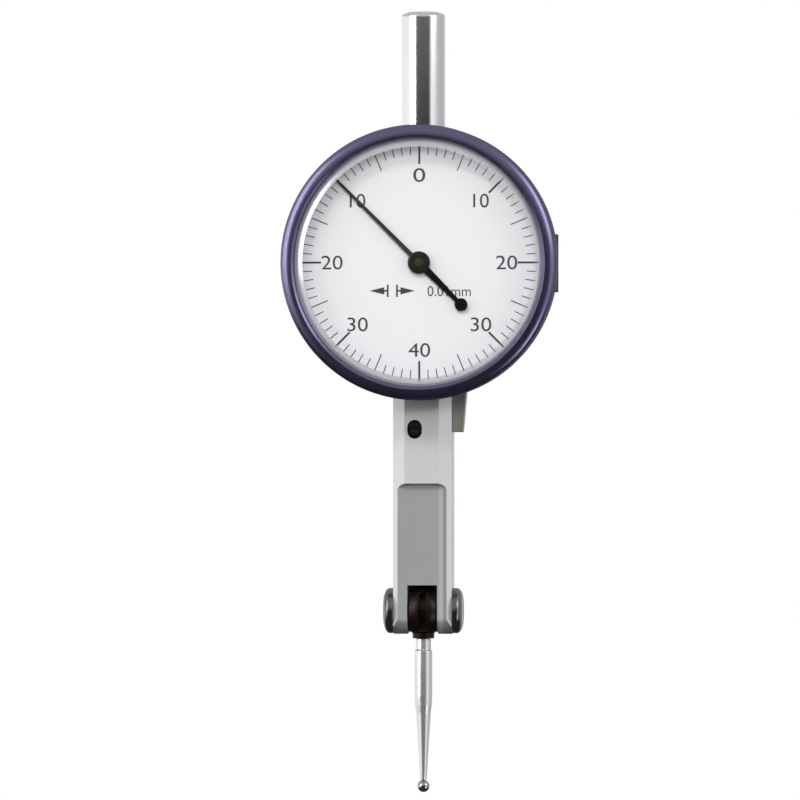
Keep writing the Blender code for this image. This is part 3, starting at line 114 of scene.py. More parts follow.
def turnedPoints(profile, axis, centre, segments, radiusShift=None):
    # Each profile point's radius and height, carried round the axis by the angle. radiusShift adds
    # an array of (profile point, angle) to the radius
    angle = np.linspace(0.0, 2.0 * np.pi, segments, endpoint=False)
    radius = np.repeat(profile[:, :1], segments, axis=1)
    if radiusShift is not None:
        radius = radius + radiusShift(profile, angle)
    along = np.repeat(profile[:, 1:], segments, axis=1)
    first, second = radius * np.cos(angle), radius * np.sin(angle)
    stack = {"X": (along, first, second), "Y": (first, along, second), "Z": (first, second, along)}
    return (np.stack(stack[axis], axis=-1) + np.array(centre)) * mm


def turnedPiece(name, corners, axis="Z", centre=(0.0, 0.0, 0.0), segments=96, steps=5, ring=False,
                radiusShift=None, smoothAngle=35.0):
    # A profile turned about an axis. A ring's profile closes on itself
    profile = roundedProfile(corners, steps)
    points = turnedPoints(profile, axis, centre, segments, radiusShift)
    return gridPiece(name, points, closeAlong=ring, smoothAngle=smoothAngle)


def boxPiece(name, low, high):
    low, high = np.array(low) * mm, np.array(high) * mm
    corner = np.array([[x, y, z] for x in (0, 1) for y in (0, 1) for z in (0, 1)])
    faces = [(0, 1, 3, 2), (4, 6, 7, 5), (0, 4, 5, 1), (2, 3, 7, 6), (0, 2, 6, 4), (1, 5, 7, 3)]
    return polygonPiece(name, low + corner * (high - low), faces)


def applyModifiers(piece, smoothAngle=None):
    # Bakes the live modifiers into the piece's own mesh
    view = bpy.context.evaluated_depsgraph_get()
    finished = bpy.data.meshes.new_from_object(piece.evaluated_get(view))
    piece.modifiers.clear()
    piece.data = finished
    if smoothAngle is not None:
        piece.data.set_sharp_from_angle(angle=math.radians(smoothAngle))


def cutAway(piece, *cutters, bevel=0.0):
    for cutter in cutters:
        change = piece.modifiers.new("cut", "BOOLEAN")
        change.operation, change.object, change.solver = "DIFFERENCE", cutter, "EXACT"
    if bevel:
        addBevel(piece, bevel, 40.0)
    applyModifiers(piece, 35.0)
    for cutter in cutters:
        bpy.data.objects.remove(cutter, do_unlink=True)


def addBevel(piece, width, angle=32.0, steps=2):
    bevel = piece.modifiers.new("softEdges", "BEVEL")
    bevel.width, bevel.segments = width * mm, steps
    bevel.limit_method, bevel.angle_limit = "ANGLE", math.radians(angle)
    bevel.use_clamp_overlap = True
    bevel.miter_outer = "MITER_ARC"


def evenShading(piece):
    # Large flat faces set the normals, so the eased edges carry all of the turn
    even = piece.modifiers.new("evenShading", "WEIGHTED_NORMAL")
    even.mode, even.weight, even.keep_sharp = "FACE_AREA", 100, True


def softenedCopy(nodeName, name, width, smoothAngle=28.0):
    # The solid's own shape, its loose triangles merged and its flat faces joined, with eased edges
    piece = addToScene(name, nodes[nodeName].data.copy())
    piece.data.materials.clear()
    shell = bmesh.new()
    shell.from_mesh(piece.data)
    bmesh.ops.remove_doubles(shell, verts=shell.verts, dist=2e-6)
    bmesh.ops.dissolve_limit(shell, angle_limit=math.radians(0.5), verts=shell.verts,
                             edges=shell.edges)
    for edge in shell.edges:
        edge.smooth = True
    shell.to_mesh(piece.data)
    shell.free()
    piece.data.shade_smooth()
    addBevel(piece, width)
    applyModifiers(piece, smoothAngle)
    evenShading(piece)
    applyModifiers(piece)
    return piece


def facePlaces(piece):
    # The middle of every face in mm, and its direction
    count = len(piece.data.polygons)
    centres, normals = np.empty(count * 3), np.empty(count * 3)
    piece.data.polygons.foreach_get("center", centres)
    piece.data.polygons.foreach_get("normal", normals)
    return centres.reshape(-1, 3) / mm, normals.reshape(-1, 3)


def fromDialAxis(centres):
    # How far each face lies from the axis of the dial, in mm
    return np.hypot(centres[:, 0], centres[:, 2] - heights["dial"])


def paintFaces(piece, chosen, *surfaceNames):
    # Faces with number 1 in chosen get the first further finish, those with number 2 the second
    for surfaceName in surfaceNames:
        piece.data.materials.append(surfaces[surfaceName])
    piece.data.polygons.foreach_set("material_index", chosen.astype(np.int32))


def place(piece, body, surface, slotName, *replaced):
    # Every new piece gets its finish and its body, and the solids that it stands for are hidden
    piece.data.materials.clear()
    piece.data.materials.append(surface)
    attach(piece, body)
    if replaced:
        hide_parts(*replaced)
    return piece


# Shader groups shared by several finishes


def newGroup(name, inputs, outputs):
    group = bpy.data.node_groups.new(name, "ShaderNodeTree")
    for label, kind, value in inputs:
        socket = group.interface.new_socket(name=label, in_out="INPUT", socket_type=kind)
        socket.default_value = value
    for label, kind in outputs:
        group.interface.new_socket(name=label, in_out="OUTPUT", socket_type=kind)
    entry = group.nodes.new("NodeGroupInput")
    leave = group.nodes.new("NodeGroupOutput")
    return group, entry, leave


def addNode(tree, kind, links=None, **settings):
    # Adds a node, sets its properties and socket values, and links its inputs
    node = tree.nodes.new(kind)
    for key, value in settings.items():
        if hasattr(node, key):
            setattr(node, key, value)
        else:
            node.inputs[key].default_value = value
    for key, source in (links or {}).items():
        tree.links.new(source, node.inputs[key])
    return node


def addRange(tree, source, reach=(0.0, 1.0), result=(0.0, 1.0), **settings):
    # Carries values between the two of reach over to between the two of result
    node = addNode(tree, "ShaderNodeMapRange", {"Value": source}, **settings)
    node.inputs["From Min"].default_value, node.inputs["From Max"].default_value = reach
    node.inputs["To Min"].default_value, node.inputs["To Max"].default_value = result
    return node.outputs[0]


def addRamp(tree, source, levels):
    # Grey levels at given shares of the way from 0 to 1
    ramp = addNode(tree, "ShaderNodeValToRGB", {"Fac": source})
    band = ramp.color_ramp
    while len(band.elements) < len(levels):
        band.elements.new(0.5)
    for stop, (share, level) in zip(band.elements, levels):
        stop.position, stop.color = share, (level, level, level, 1.0)
    return ramp.outputs[0]


def makeGrainGroup():
    # Two noises at unlike scales, stretched along one axis, mixed to one value and one height
    group, entry, leave = newGroup(
        "metalGrain",
        [("Vector", "NodeSocketVector", (0, 0, 0)), ("Stretch", "NodeSocketVector", (1, 1, 1)),
         ("Scale", "NodeSocketFloat", 1500.0), ("Patches", "NodeSocketFloat", 180.0)],
        [("Value", "NodeSocketFloat"), ("Height", "NodeSocketFloat")],
    )
    spot = entry.outputs["Vector"]
    stretched = addNode(group, "ShaderNodeVectorMath", {0: spot, 1: entry.outputs["Stretch"]},
                        operation="MULTIPLY")
    fine = addNode(group, "ShaderNodeTexNoise",
                   {"Vector": stretched.outputs[0], "Scale": entry.outputs["Scale"]}, Detail=3.0)
    broad = addNode(group, "ShaderNodeTexNoise",
                    {"Vector": spot, "Scale": entry.outputs["Patches"]}, Detail=2.0)
    mixed = addNode(group, "ShaderNodeMath", {0: fine.outputs[0], 1: broad.outputs[0]},
                    operation="ADD")
    halved = addNode(group, "ShaderNodeMath", {0: mixed.outputs[0]}, operation="MULTIPLY")
    halved.inputs[1].default_value = 0.5
    group.links.new(halved.outputs[0], leave.inputs["Value"])
    group.links.new(fine.outputs[0], leave.inputs["Height"])
    return group


def makeMarksGroup():
    # Hairline scratches, from thin cells of a stretched Voronoi edge distance, kept to worn patches
    group, entry, leave = newGroup(
        "handlingMarks",
        [("Vector", "NodeSocketVector", (0, 0, 0)), ("Scale", "NodeSocketFloat", 500.0),
         ("Amount", "NodeSocketFloat", 0.5)],
        [("Mask", "NodeSocketFloat")],
    )
    spot = entry.outputs["Vector"]
    warp = addNode(group, "ShaderNodeTexNoise", {"Vector": spot}, Scale=220.0)
    push = addNode(group, "ShaderNodeVectorMath", {0: warp.outputs[1]}, operation="SCALE")
    push.inputs["Scale"].default_value = 0.006
    moved = addNode(group, "ShaderNodeVectorMath", {0: spot, 1: push.outputs[0]}, operation="ADD")
    cells = addNode(group, "ShaderNodeTexVoronoi",
                    {"Vector": moved.outputs[0], "Scale": entry.outputs["Scale"]},
                    feature="DISTANCE_TO_EDGE")
    thin = addRange(group, cells.outputs[0], (0.0, 0.018), (1.0, 0.0))
    patches = addNode(group, "ShaderNodeTexNoise", {"Vector": spot}, Scale=160.0)
    kept = addRange(group, patches.outputs[0], (0.52, 0.7))
    both = addNode(group, "ShaderNodeMath", {0: thin, 1: kept}, operation="MULTIPLY")
    scaled = addNode(group, "ShaderNodeMath", {0: both.outputs[0], 1: entry.outputs["Amount"]},
                     operation="MULTIPLY")
    group.links.new(scaled.outputs[0], leave.inputs["Mask"])
    return group


grainGroup = makeGrainGroup()
marksGroup = makeMarksGroup()


def newSurface(name):
    # A material whose pattern is the shared grain, read at Object coordinates
    surface = bpy.data.materials.new(name)
    surface.use_nodes = True
    tree = surface.node_tree
    spot = addNode(tree, "ShaderNodeTexCoord").outputs["Object"]
    texture = addNode(tree, "ShaderNodeGroup", {"Vector": spot}, node_tree=grainGroup)
    return surface, tree, tree.nodes["Principled BSDF"], texture


def colourByGrain(tree, shader, share, low, high):
    # The base colour runs from low to high with the grain
    blend = addNode(tree, "ShaderNodeMix", {"Factor": share}, data_type="RGBA")
    blend.inputs[6].default_value, blend.inputs[7].default_value = (*low, 1.0), (*high, 1.0)
    tree.links.new(blend.outputs[2], shader.inputs["Base Color"])


def liftByGrain(tree, shader, texture, strength, depth):
    # The grain's height as a fine bump, depth in mm
    lift = addNode(tree, "ShaderNodeBump", {"Height": texture.outputs["Height"]})
    lift.inputs["Strength"].default_value = strength
    lift.inputs["Distance"].default_value = depth * mm
    tree.links.new(lift.outputs[0], shader.inputs["Normal"])


def metalSurface(name, colour, roughness, metallic=1.0, grain=0.08, bump=0.15, scale=1500.0,
                 stretch=(1.0, 1.0, 1.0), marks=0.3, tint=0.12, coat=0.0, coatRoughness=0.1,
                 specular=0.5):
    # Principled metal. The grain varies colour and roughness a little and lifts a fine bump, and
    # the handling marks dull thin lines of it
    surface, tree, shader, texture = newSurface(name)
    shader.inputs["Metallic"].default_value = metallic
    shader.inputs["Specular IOR Level"].default_value = specular
    shader.inputs["Coat Weight"].default_value = coat
    shader.inputs["Coat Roughness"].default_value = coatRoughness
    texture.inputs["Stretch"].default_value = stretch
    texture.inputs["Scale"].default_value = scale
    spot = texture.inputs["Vector"].links[0].from_socket
    scratch = addNode(tree, "ShaderNodeGroup", {"Vector": spot}, node_tree=marksGroup)
    scratch.inputs["Amount"].default_value = marks
    shade = addRange(tree, texture.outputs["Value"], (0.3, 0.7), (1.0 - tint, 1.0))
    colourByGrain(tree, shader, shade, [0.6 * part for part in colour], colour)
    rough = addRange(tree, texture.outputs["Value"], (0.3, 0.7),
                     (max(roughness - grain, 0.01), roughness + grain))
    dulled = addNode(tree, "ShaderNodeMath", {0: scratch.outputs["Mask"], 2: rough},
                     operation="MULTIPLY_ADD")
    dulled.inputs[1].default_value = 0.35
    tree.links.new(dulled.outputs[0], shader.inputs["Roughness"])
    liftByGrain(tree, shader, texture, bump, 0.02)
    return surface


def paintSurface(name, colour, roughness, specks=0.06, bump=0.1, scale=900.0, coat=0.0,
                 specular=0.5):
    # Enamel or ink: a plain colour with faint mottling, uneven gloss and a fine orange-peel bump
    surface, tree, shader, texture = newSurface(name)
    shader.inputs["Coat Weight"].default_value = coat
    shader.inputs["Specular IOR Level"].default_value = specular
    texture.inputs["Scale"].default_value = scale
    share = texture.outputs["Value"]
    colourByGrain(tree, shader, share, [(1.0 - specks) * part for part in colour], colour)
    rough = addRange(tree, share, result=(max(roughness - 0.06, 0.02), roughness + 0.06))
    tree.links.new(rough, shader.inputs["Roughness"])
    liftByGrain(tree, shader, texture, bump, 0.01)
    return surface


def panelSurface():
    # The milled panel: a blasted floor, darker towards its left edge, with a painted highlight line and
    # a painted shade strip at its right, a painted reflection straight along the arm. They stand in
    # Object X, in metres
    surface = metalSurface("blastedPanel", (0.385, 0.385, 0.395), 0.55, metallic=0.5, grain=0.05,
                           bump=0.5, scale=2600.0, marks=0.1)
    tree = surface.node_tree
    shader = tree.nodes["Principled BSDF"]
    base = shader.inputs["Base Color"].links[0].from_socket
    spot = addNode(tree, "ShaderNodeTexCoord").outputs["Object"]
    across = addNode(tree, "ShaderNodeSeparateXYZ", {0: spot}).outputs["X"]
    share = addRange(tree, across, (-4.0 * mm, 4.0 * mm))
    # the light line and the dark strip in this ramp are painted highlight and painted shade
    levels = addRamp(tree, share, [(0.0, 0.86), (0.12, 0.98), (0.775, 1.0), (0.8, 1.25), (0.85, 1.25),
                                   (0.87, 0.8), (1.0, 0.76)])
    shade = addNode(tree, "ShaderNodeMix", {6: base, 7: levels}, data_type="RGBA",
                    blend_type="MULTIPLY")
    shade.inputs[0].default_value = 1.0
    tree.links.new(shade.outputs[2], shader.inputs["Base Color"])
    return surface


def crystalSurface(name, colour, metallic, specular, smears):
    # What both crystal finishes share: faint smears that only change the gloss
    surface, tree, shader, texture = newSurface(name)
    shader.inputs["Base Color"].default_value = (*colour, 1.0)
    shader.inputs["Metallic"].default_value = metallic
    shader.inputs["Specular IOR Level"].default_value = specular
    shader.inputs["IOR"].default_value = 1.5
    smear = addRange(tree, texture.outputs["Value"], result=smears)
    tree.links.new(smear, shader.inputs["Roughness"])
    return surface


def clearFaceSurface():
    # The flat of the crystal: only its mirror image of the room is there and the rest is see-through.
    # It reflects 4 percent face on, and more with the fifth power of how far it turns away
    surface = crystalSurface("clearCrystal", (0.95, 0.95, 0.97), 1.0, 0.5, (0.02, 0.07))
    tree = surface.node_tree
    facing = addNode(tree, "ShaderNodeLayerWeight", Blend=0.5)
    steep = addNode(tree, "ShaderNodeMath", {0: facing.outputs["Facing"]}, operation="POWER")
    steep.inputs[1].default_value = 5.0
    mirror = addRange(tree, steep.outputs[0], result=(0.04, 0.9))
    tree.links.new(mirror, tree.nodes["Principled BSDF"].inputs["Alpha"])
    return surface


def crystalRimSurface():
    # The slanted rim of the crystal has a grey, half-opaque diffuse part that the lamps light, a painted
    # reflection of the bevel, more opaque the more it turns away
    surface = crystalSurface("crystalRim", (0.5, 0.5, 0.535), 0.35, 1.0, (0.13, 0.19))
    tree = surface.node_tree
    facing = addNode(tree, "ShaderNodeLayerWeight", Blend=0.5)
    opaque = addRange(tree, facing.outputs["Facing"], (0.01, 0.08), (0.02, 0.65),
                      interpolation_type="SMOOTHSTEP")
    tree.links.new(opaque, tree.nodes["Principled BSDF"].inputs["Alpha"])
    return surface


surfaces = {
    "satin": metalSurface("satinChrome", (0.66, 0.66, 0.68), 0.40, metallic=0.4, grain=0.05,
                          marks=0.2),
    "panel": panelSurface(),
    "polished": metalSurface("polishedChrome", (0.86, 0.86, 0.88), 0.15, grain=0.015, bump=0.003,
                             marks=0.06, tint=0.04),
    # a darkened copy of the polished chrome: painted shade, for domes that mirror dark surroundings
    "cap": metalSurface("shadedCapChrome", (0.21, 0.21, 0.22), 0.24, grain=0.03, bump=0.03, marks=0.3),
    "bezel": metalSurface("anodisedBlue", (0.165, 0.152, 0.275), 0.31, grain=0.03, bump=0.02,
                          scale=1800.0, marks=0.15, coat=0.5, coatRoughness=0.22),
    # a darker, dull copy of the anodised blue: painted shade on the bezel's rim
    "knurl": metalSurface("shadedAnodisedEdge", (0.034, 0.034, 0.082), 0.5, metallic=0.0, grain=0.05,
                          bump=0.05, scale=2200.0, marks=0.2, specular=0.06),
    # the dovetail bars' near-black navy is painted shade: the hardened steel as it looks in shadow
    "dovetail": metalSurface("shadedDovetailSteel", (0.02, 0.027, 0.058), 0.6, metallic=0.0, grain=0.06,
                             stretch=(1.0, 0.12, 1.0), marks=0.3, specular=0.05),
    "lever": metalSurface("changeoverSteel", (0.31, 0.31, 0.28), 0.42, metallic=0.4, grain=0.06,
                          stretch=(1.0, 1.0, 0.15), marks=0.4),
    "steel": metalSurface("brightSteel", (0.60, 0.60, 0.58), 0.2, grain=0.05, marks=0.3),
    "stylus": metalSurface("turnedSteel", (0.76, 0.76, 0.74), 0.24, metallic=0.85, grain=0.02,
                           bump=0.004, stretch=(0.2, 0.2, 1.0), scale=2600.0, marks=0.05, tint=0.05),
    "ball": metalSurface("polishedCarbide", (0.45, 0.45, 0.46), 0.12, grain=0.02, bump=0.02,
                         marks=0.1),
    "hub": metalSurface("blackHub", (0.008, 0.0035, 0.0025), 0.3, metallic=0.2, grain=0.05,
                        marks=0.15, specular=0.25),
    "black": metalSurface("blackScrew", (0.012, 0.012, 0.014), 0.32, metallic=0.4, marks=0.2,
                          specular=0.4),
    "brass": metalSurface("lacqueredBrass", (0.72, 0.53, 0.24), 0.26, grain=0.06,
                          stretch=(1.0, 0.2, 1.0), marks=0.3),
    "ruby": paintSurface("bearingRuby", (0.5, 0.02, 0.06), 0.1, coat=1.0),
    "dial": paintSurface("dialEnamel", (0.71, 0.71, 0.725), 0.42, specks=0.02, bump=0.05),
    "ink": paintSurface("printInk", (0.055, 0.055, 0.06), 0.5, specks=0.2, specular=0.3),
    "pointer": paintSurface("oliveEnamel", (0.034, 0.034, 0.022), 0.4, specks=0.3, specular=0.25),
    "tail": paintSurface("blackEnamel", (0.003, 0.003, 0.003), 0.45, specks=0.3, specular=0.12),
    "boss": paintSurface("bossEnamel", (0.014, 0.013, 0.007), 0.32, specks=0.2, specular=0.2),
    "crystal": clearFaceSurface(),
    "crystalRim": crystalRimSurface(),
}
print("finishes made")


# Stem

stem = {
    "radius": 3.0, "top": 34.4, "seat": 15.45, "edgeWidth": 1.1, "edgeHeight": 0.5,
    "threadRadius": 1.8, "threadLength": 2.1,
}


def makeStem():
    # A straight shaft whose upper edge falls away in a shallow crown before the side
    r, top, base = stem["radius"], stem["top"] + heights["dial"], stem["seat"] + heights["dial"]
    thread, end = stem["threadRadius"], base - stem["threadLength"]
    corners = [
        (0.0, top), (r - stem["edgeWidth"], top, 0.3), (r - 0.25, top - 0.6 * stem["edgeHeight"], 0.25),
        (r, top - stem["edgeHeight"] - 0.05, 0.2), (r, base + 0.1), (r - 0.1, base), (thread, base),
        (thread, end), (0.0, end),
    ]
    piece = turnedPiece("stemShaft", corners, "Z", segments=128)
    place(piece, "case", surfaces["polished"], "polished_chrome", "stem")


makeStem()
print("stem made")


# Case, covers and dovetails: the solids' own shapes with eased edges

casePieces = {
    "housing": ("caseBody", 0.12, "satin", "satin_chrome"),
    "back_cover": ("caseBackCover", 0.08, "satin", "satin_chrome"),
    "arm_cover": ("armBackCover", 0.08, "satin", "satin_chrome"),
    "side_dovetail": ("sideDovetailBar", 0.08, "dovetail", "hardened_steel"),
    "back_dovetail": ("backDovetailBar", 0.08, "dovetail", "hardened_steel"),
}
panel = {"front": -3.0, "top": -56.5, "forkEnd": -75.1}
pocket = {"x": -0.95, "z": -49.1, "reach": 1.35, "depths": (-3.9, -2.0)}


def makeCase():
    for node, (name, easing, finish, slotName) in casePieces.items():
        piece = softenedCopy(node, name, easing)
        place(piece, "case", surfaces[finish], slotName, node)
        if node == "housing":
            paintPanel(piece)


def paintPanel(piece):
    # The milled panel on the arm's front is blasted: its faces look forward at the panel's depth.
    # The round ends of the fork below it get the panel's darker finish as painted shade, and the faces
    # inside the screw's pocket get the black screw finish as painted shade
    centres, normals = facePlaces(piece)
    chosen = (abs(centres[:, 1] - panel["front"]) < 0.05) & (normals[:, 1] < -0.99)
    chosen &= centres[:, 2] < panel["top"]
    # painted shade on the fork's round ends
    shadedForkEnds = (normals[:, 1] < -0.1) & (abs(normals[:, 0]) < 0.9)
    chosen |= (centres[:, 2] < panel["forkEnd"]) & shadedForkEnds
    # painted shade: the pocket's walls are made black for its shadow
    fromPocket = np.hypot(centres[:, 0] - pocket["x"], centres[:, 2] - pocket["z"])
    front, back = pocket["depths"]
    inside = (fromPocket < pocket["reach"]) & (centres[:, 1] > front) & (centres[:, 1] < back)
    paintFaces(piece, chosen + 2 * inside, "panel", "black")


makeCase()
print("case made")


# Bezel with a coin edge

bezel = {
    "radius": 18.75, "front": -11.85, "rear": -4.9, "flatIn": 17.3, "crest": (1.45, 0.9),
    "lipRadius": 16.95, "lipFront": -11.5, "lipBack": -10.75, "bore": 17.05, "teeth": 216,
    "toothDepth": 0.09, "band": (-10.5, -5.6), "edgeWidth": 0.1, "rearBore": 17.38, "step": -7.6,
    "groove": (17.83, -6.45, -5.75),
}


def coinEdge(profile, angle):
    # Rounded teeth on the rim: the radius dips by the tooth depth times a raised cosine of the
    # angle, faded in and out at the ends of the band
    low, high = bezel["band"]
    fade, along = 0.25, profile[:, 1]
    inside = np.clip((along - low) / fade, 0.0, 1.0) * np.clip((high - along) / fade, 0.0, 1.0)
    inside *= profile[:, 0] > bezel["radius"] - 0.05
    wave = 0.5 - 0.5 * np.cos(bezel["teeth"] * angle)
    return -bezel["toothDepth"] * inside[:, None] * wave[None, :] ** 0.8


def makeBezel():
    # The crest is a quarter ellipse between the rim and the front ring
    b, (crestWide, crestHigh) = bezel, bezel["crest"]
    band = [(b["radius"], y) for y in np.linspace(b["band"][1], b["band"][0], 26)]
    swing = np.linspace(0.0, 0.5 * np.pi, 14)
    crest = zip(b["radius"] - crestWide * (1.0 - np.cos(swing)),
                b["front"] + crestHigh * (1.0 - np.sin(swing)))
    bore, (deep, near, far) = b["rearBore"], b["groove"]
    corners = [
        (bore, b["rear"]), (b["radius"] - 0.2, b["rear"], 0.08), (b["radius"], b["rear"] - 0.2, 0.08),
        *band, *crest, (b["flatIn"], b["front"] + 0.06, 0.12), (b["lipRadius"], b["lipFront"], 0.1),
        (b["lipRadius"], b["lipBack"]), (b["bore"], b["lipBack"]), (b["bore"], b["step"]),
        (bore, b["step"]), (bore, near), (deep, near), (deep, far), (bore, far),
    ]
    piece = turnedPiece("bezelRing", corners, "Y", (0.0, 0.0, heights["dial"]), 1296, 6, ring=True,
                        radiusShift=coinEdge)
    place(piece, "bezel_group", surfaces["bezel"], "anodised_blue", "bezel")
    # the rim, the tooth flanks and the rounding behind them get a darker, dull copy of the anodised blue,
    # painted shade for the rim seen edge on
    centres, _ = facePlaces(piece)
    away = fromDialAxis(centres)
    edge = (away > b["radius"] - 0.3) & (centres[:, 1] > b["band"][0])
    edge |= away > b["radius"] - b["edgeWidth"]
    paintFaces(piece, edge, "knurl")


makeBezel()
print("bezel made")


# Crystal, spacer and dial

glass = {
    "radius": 17.0, "shoulder": -10.7, "back": -9.85, "front": -11.25, "flat": 15.7, "neck": 16.88,
    "bevelEnd": -10.8,
}
spacer = {"inner": 16.5, "outer": 17.0, "front": -9.81, "back": -8.55, "ease": 0.03}
dial = {
    "radius": 16.98, "front": -8.5, "back": -8.1, "hole": 1.0, "divisions": 80,
    "minor": (14.64, 16.0, 0.13), "fifth": (13.5, 16.0, 0.15), "tenth": (13.4, 16.25, 0.27),
    "inkHeight": 0.012, "figureRadius": 11.9, "figureHeight": 1.9, "figureStretch": 1.14,
    "unit": (4.07, -3.89, 1.4, 0.93),   # x, z, height and stretch
}


def makeCrystal():
    # Flat crystal with a bevelled rim inside the lip and a shoulder behind it
    g = glass
    corners = [
        (0.0, g["front"]), (g["flat"], g["front"], 0.1), (g["neck"], g["bevelEnd"], 0.04),
        (g["neck"], g["shoulder"]), (g["radius"], g["shoulder"]), (g["radius"], g["back"]),
        (0.0, g["back"]),
    ]
    piece = turnedPiece("crystalDisc", corners, "Y", (0.0, 0.0, heights["dial"]), 192)
    place(piece, "bezel_group", surfaces["crystal"], "crystal_clear", "crystal")
    centres, _ = facePlaces(piece)
    slanted = (fromDialAxis(centres) > g["flat"] - 0.05) & (centres[:, 1] < g["shoulder"])
    paintFaces(piece, slanted, "crystalRim")


def makeDialFace():
    d, s, centre = dial, spacer, (0.0, 0.0, heights["dial"])
    ease = s["ease"]
    corners = [
        (d["hole"], d["front"] + ease), (d["hole"] + ease, d["front"]),
        (d["radius"] - ease, d["front"]), (d["radius"], d["front"] + ease), (d["radius"], d["back"]),
        (d["hole"], d["back"]),
    ]
    piece = turnedPiece("dialDisc", corners, "Y", centre, 192, ring=True)
    place(piece, "bezel_group", surfaces["dial"], "dial_white", "dial_face")
    corners = [
        (s["inner"], s["front"] + ease), (s["inner"] + ease, s["front"]),
        (s["outer"] - ease, s["front"]), (s["outer"], s["front"] + ease),
        (s["outer"], s["back"] - ease), (s["outer"] - ease, s["back"]),
        (s["inner"] + ease, s["back"]), (s["inner"], s["back"] - ease),
    ]
    piece = turnedPiece("dialSpacerRing", corners, "Y", centre, 192, ring=True)
    place(piece, "bezel_group", surfaces["bezel"], "anodised_blue", "dial_spacer")


def slabPiece(name, outlines, front, depth):
    # Flat shapes in the dial's plane, each an outline of (x, z) in mm, raised by depth
    points, faces, start = [], [], 0
    for outline in outlines:
        outline = np.asarray(outline, dtype=float)
        count = len(outline)
        for y in (front, front - depth):
            points.append(np.column_stack([outline[:, 0], np.full(count, y), outline[:, 1]]))
        low = np.arange(count) + start
        high = low + count
        sides = np.column_stack([low, np.roll(low, -1), np.roll(high, -1), high])
        faces += [low[::-1].tolist(), high.tolist(), *sides.tolist()]
        start += 2 * count
    points = (np.vstack(points) + np.array([0.0, 0.0, heights["dial"]])) * mm
    mesh = bpy.data.meshes.new(name)
    mesh.from_pydata(points.tolist(), [], faces)
    piece = addToScene(name, mesh)
    tidyMesh(piece, 20.0)
    return piece


def makeDivisions():
    # Each mark is a bar along the radius, turned to its own angle
    d, bars = dial, []
    for k in range(d["divisions"]):
        kind = "tenth" if k % 10 == 0 else "fifth" if k % 5 == 0 else "minor"
        inner, outer, width = d[kind]
        angle = 2.0 * np.pi * k / d["divisions"]
        across = np.array([np.cos(angle), -np.sin(angle)]) * 0.5 * width
        out = np.array([np.sin(angle), np.cos(angle)])
        bars.append([inner * out - across, outer * out - across, outer * out + across,
                     inner * out + across])
    piece = slabPiece("dialDivisions", bars, d["front"], d["inkHeight"])
    place(piece, "bezel_group", surfaces["ink"], "pointer_paint")


def makeFigure(name, text, x, z, height, stretch):
    # A text object made a mesh, measured, scaled to its height in mm and set upright on the dial
    curve = bpy.data.curves.new(name, "FONT")
    curve.body, curve.size, curve.resolution_u = text, 1.0, 6
    holder = addToScene(name + "Text", curve)
    view = bpy.context.evaluated_depsgraph_get()
    mesh = bpy.data.meshes.new_from_object(holder.evaluated_get(view))
    bpy.data.objects.remove(holder, do_unlink=True)
    flat = np.empty(len(mesh.vertices) * 3)
    mesh.vertices.foreach_get("co", flat)
    flat = flat.reshape(-1, 3)
    low, high = flat.min(axis=0), flat.max(axis=0)
    scale = height / (high[1] - low[1])
    spots = (flat[:, :2] - 0.5 * (low + high)[:2]) * scale * np.array([stretch, 1.0])
    upright = np.column_stack([
        spots[:, 0] + x, np.full(len(spots), dial["front"] - dial["inkHeight"]),
        spots[:, 1] + z + heights["dial"],
    ]) * mm
    mesh.vertices.foreach_set("co", upright.ravel())
    mesh.update()
    piece = addToScene(name, mesh)
    raised = bmesh.new()
    raised.from_mesh(mesh)
    bmesh.ops.remove_doubles(raised, verts=raised.verts, dist=1e-8)
    grown = bmesh.ops.extrude_face_region(raised, geom=list(raised.faces))
    moved = [part for part in grown["geom"] if isinstance(part, bmesh.types.BMVert)]
    bmesh.ops.translate(raised, verts=moved, vec=Vector((0.0, dial["inkHeight"] * mm, 0.0)))
    bmesh.ops.recalc_face_normals(raised, faces=raised.faces)
    raised.to_mesh(mesh)
    raised.free()
    place(piece, "bezel_group", surfaces["ink"], "pointer_paint")


def makeFigures():
    for k, text in enumerate(("0", "10", "20", "30", "40", "30", "20", "10")):
        angle = 0.25 * np.pi * k
        x, z = dial["figureRadius"] * np.sin(angle), dial["figureRadius"] * np.cos(angle)
        stretch = dial["figureStretch"] * {"0": 1.2, "10": 0.9}.get(text, 1.0)
        makeFigure(f"dialFigure{k}", text, x, z, dial["figureHeight"], stretch)
    makeFigure("dialUnit", "0.01mm", *dial["unit"])


arrows = {
    "height": -3.85, "bars": (-4.3, -3.05), "barHalf": 0.85, "width": 0.24, "head": 0.5,
    "neck": 0.48, "length": 2.5,
}


def makeArrows():
    # Two arrows that point away from a pair of upright bars, for the two directions of reading
    a, shapes = arrows, []
    z, half, w = a["height"], a["barHalf"], a["width"]
    for x, side in zip(a["bars"], (-1.0, 1.0)):
        left, right = x - 0.5 * w, x + 0.5 * w
        shapes.append([(left, z - half), (right, z - half), (right, z + half), (left, z + half)])
        tip, neck, end = x + side * a["length"], x + side * a["neck"], x + side * 0.5 * w
        shapes.append([(tip, z), (neck, z + a["head"]), (neck, z + 0.5 * w), (end, z + 0.5 * w),
                       (end, z - 0.5 * w), (neck, z - 0.5 * w), (neck, z - a["head"])])
    piece = slabPiece("dialArrows", shapes, dial["front"], dial["inkHeight"])
    place(piece, "bezel_group", surfaces["ink"], "pointer_paint")


makeCrystal()
makeDialFace()
makeDivisions()
makeFigures()
makeArrows()
print("dial made")


# Pointer: a tapered hand, a disc, a black tail, and the boss over the arbor

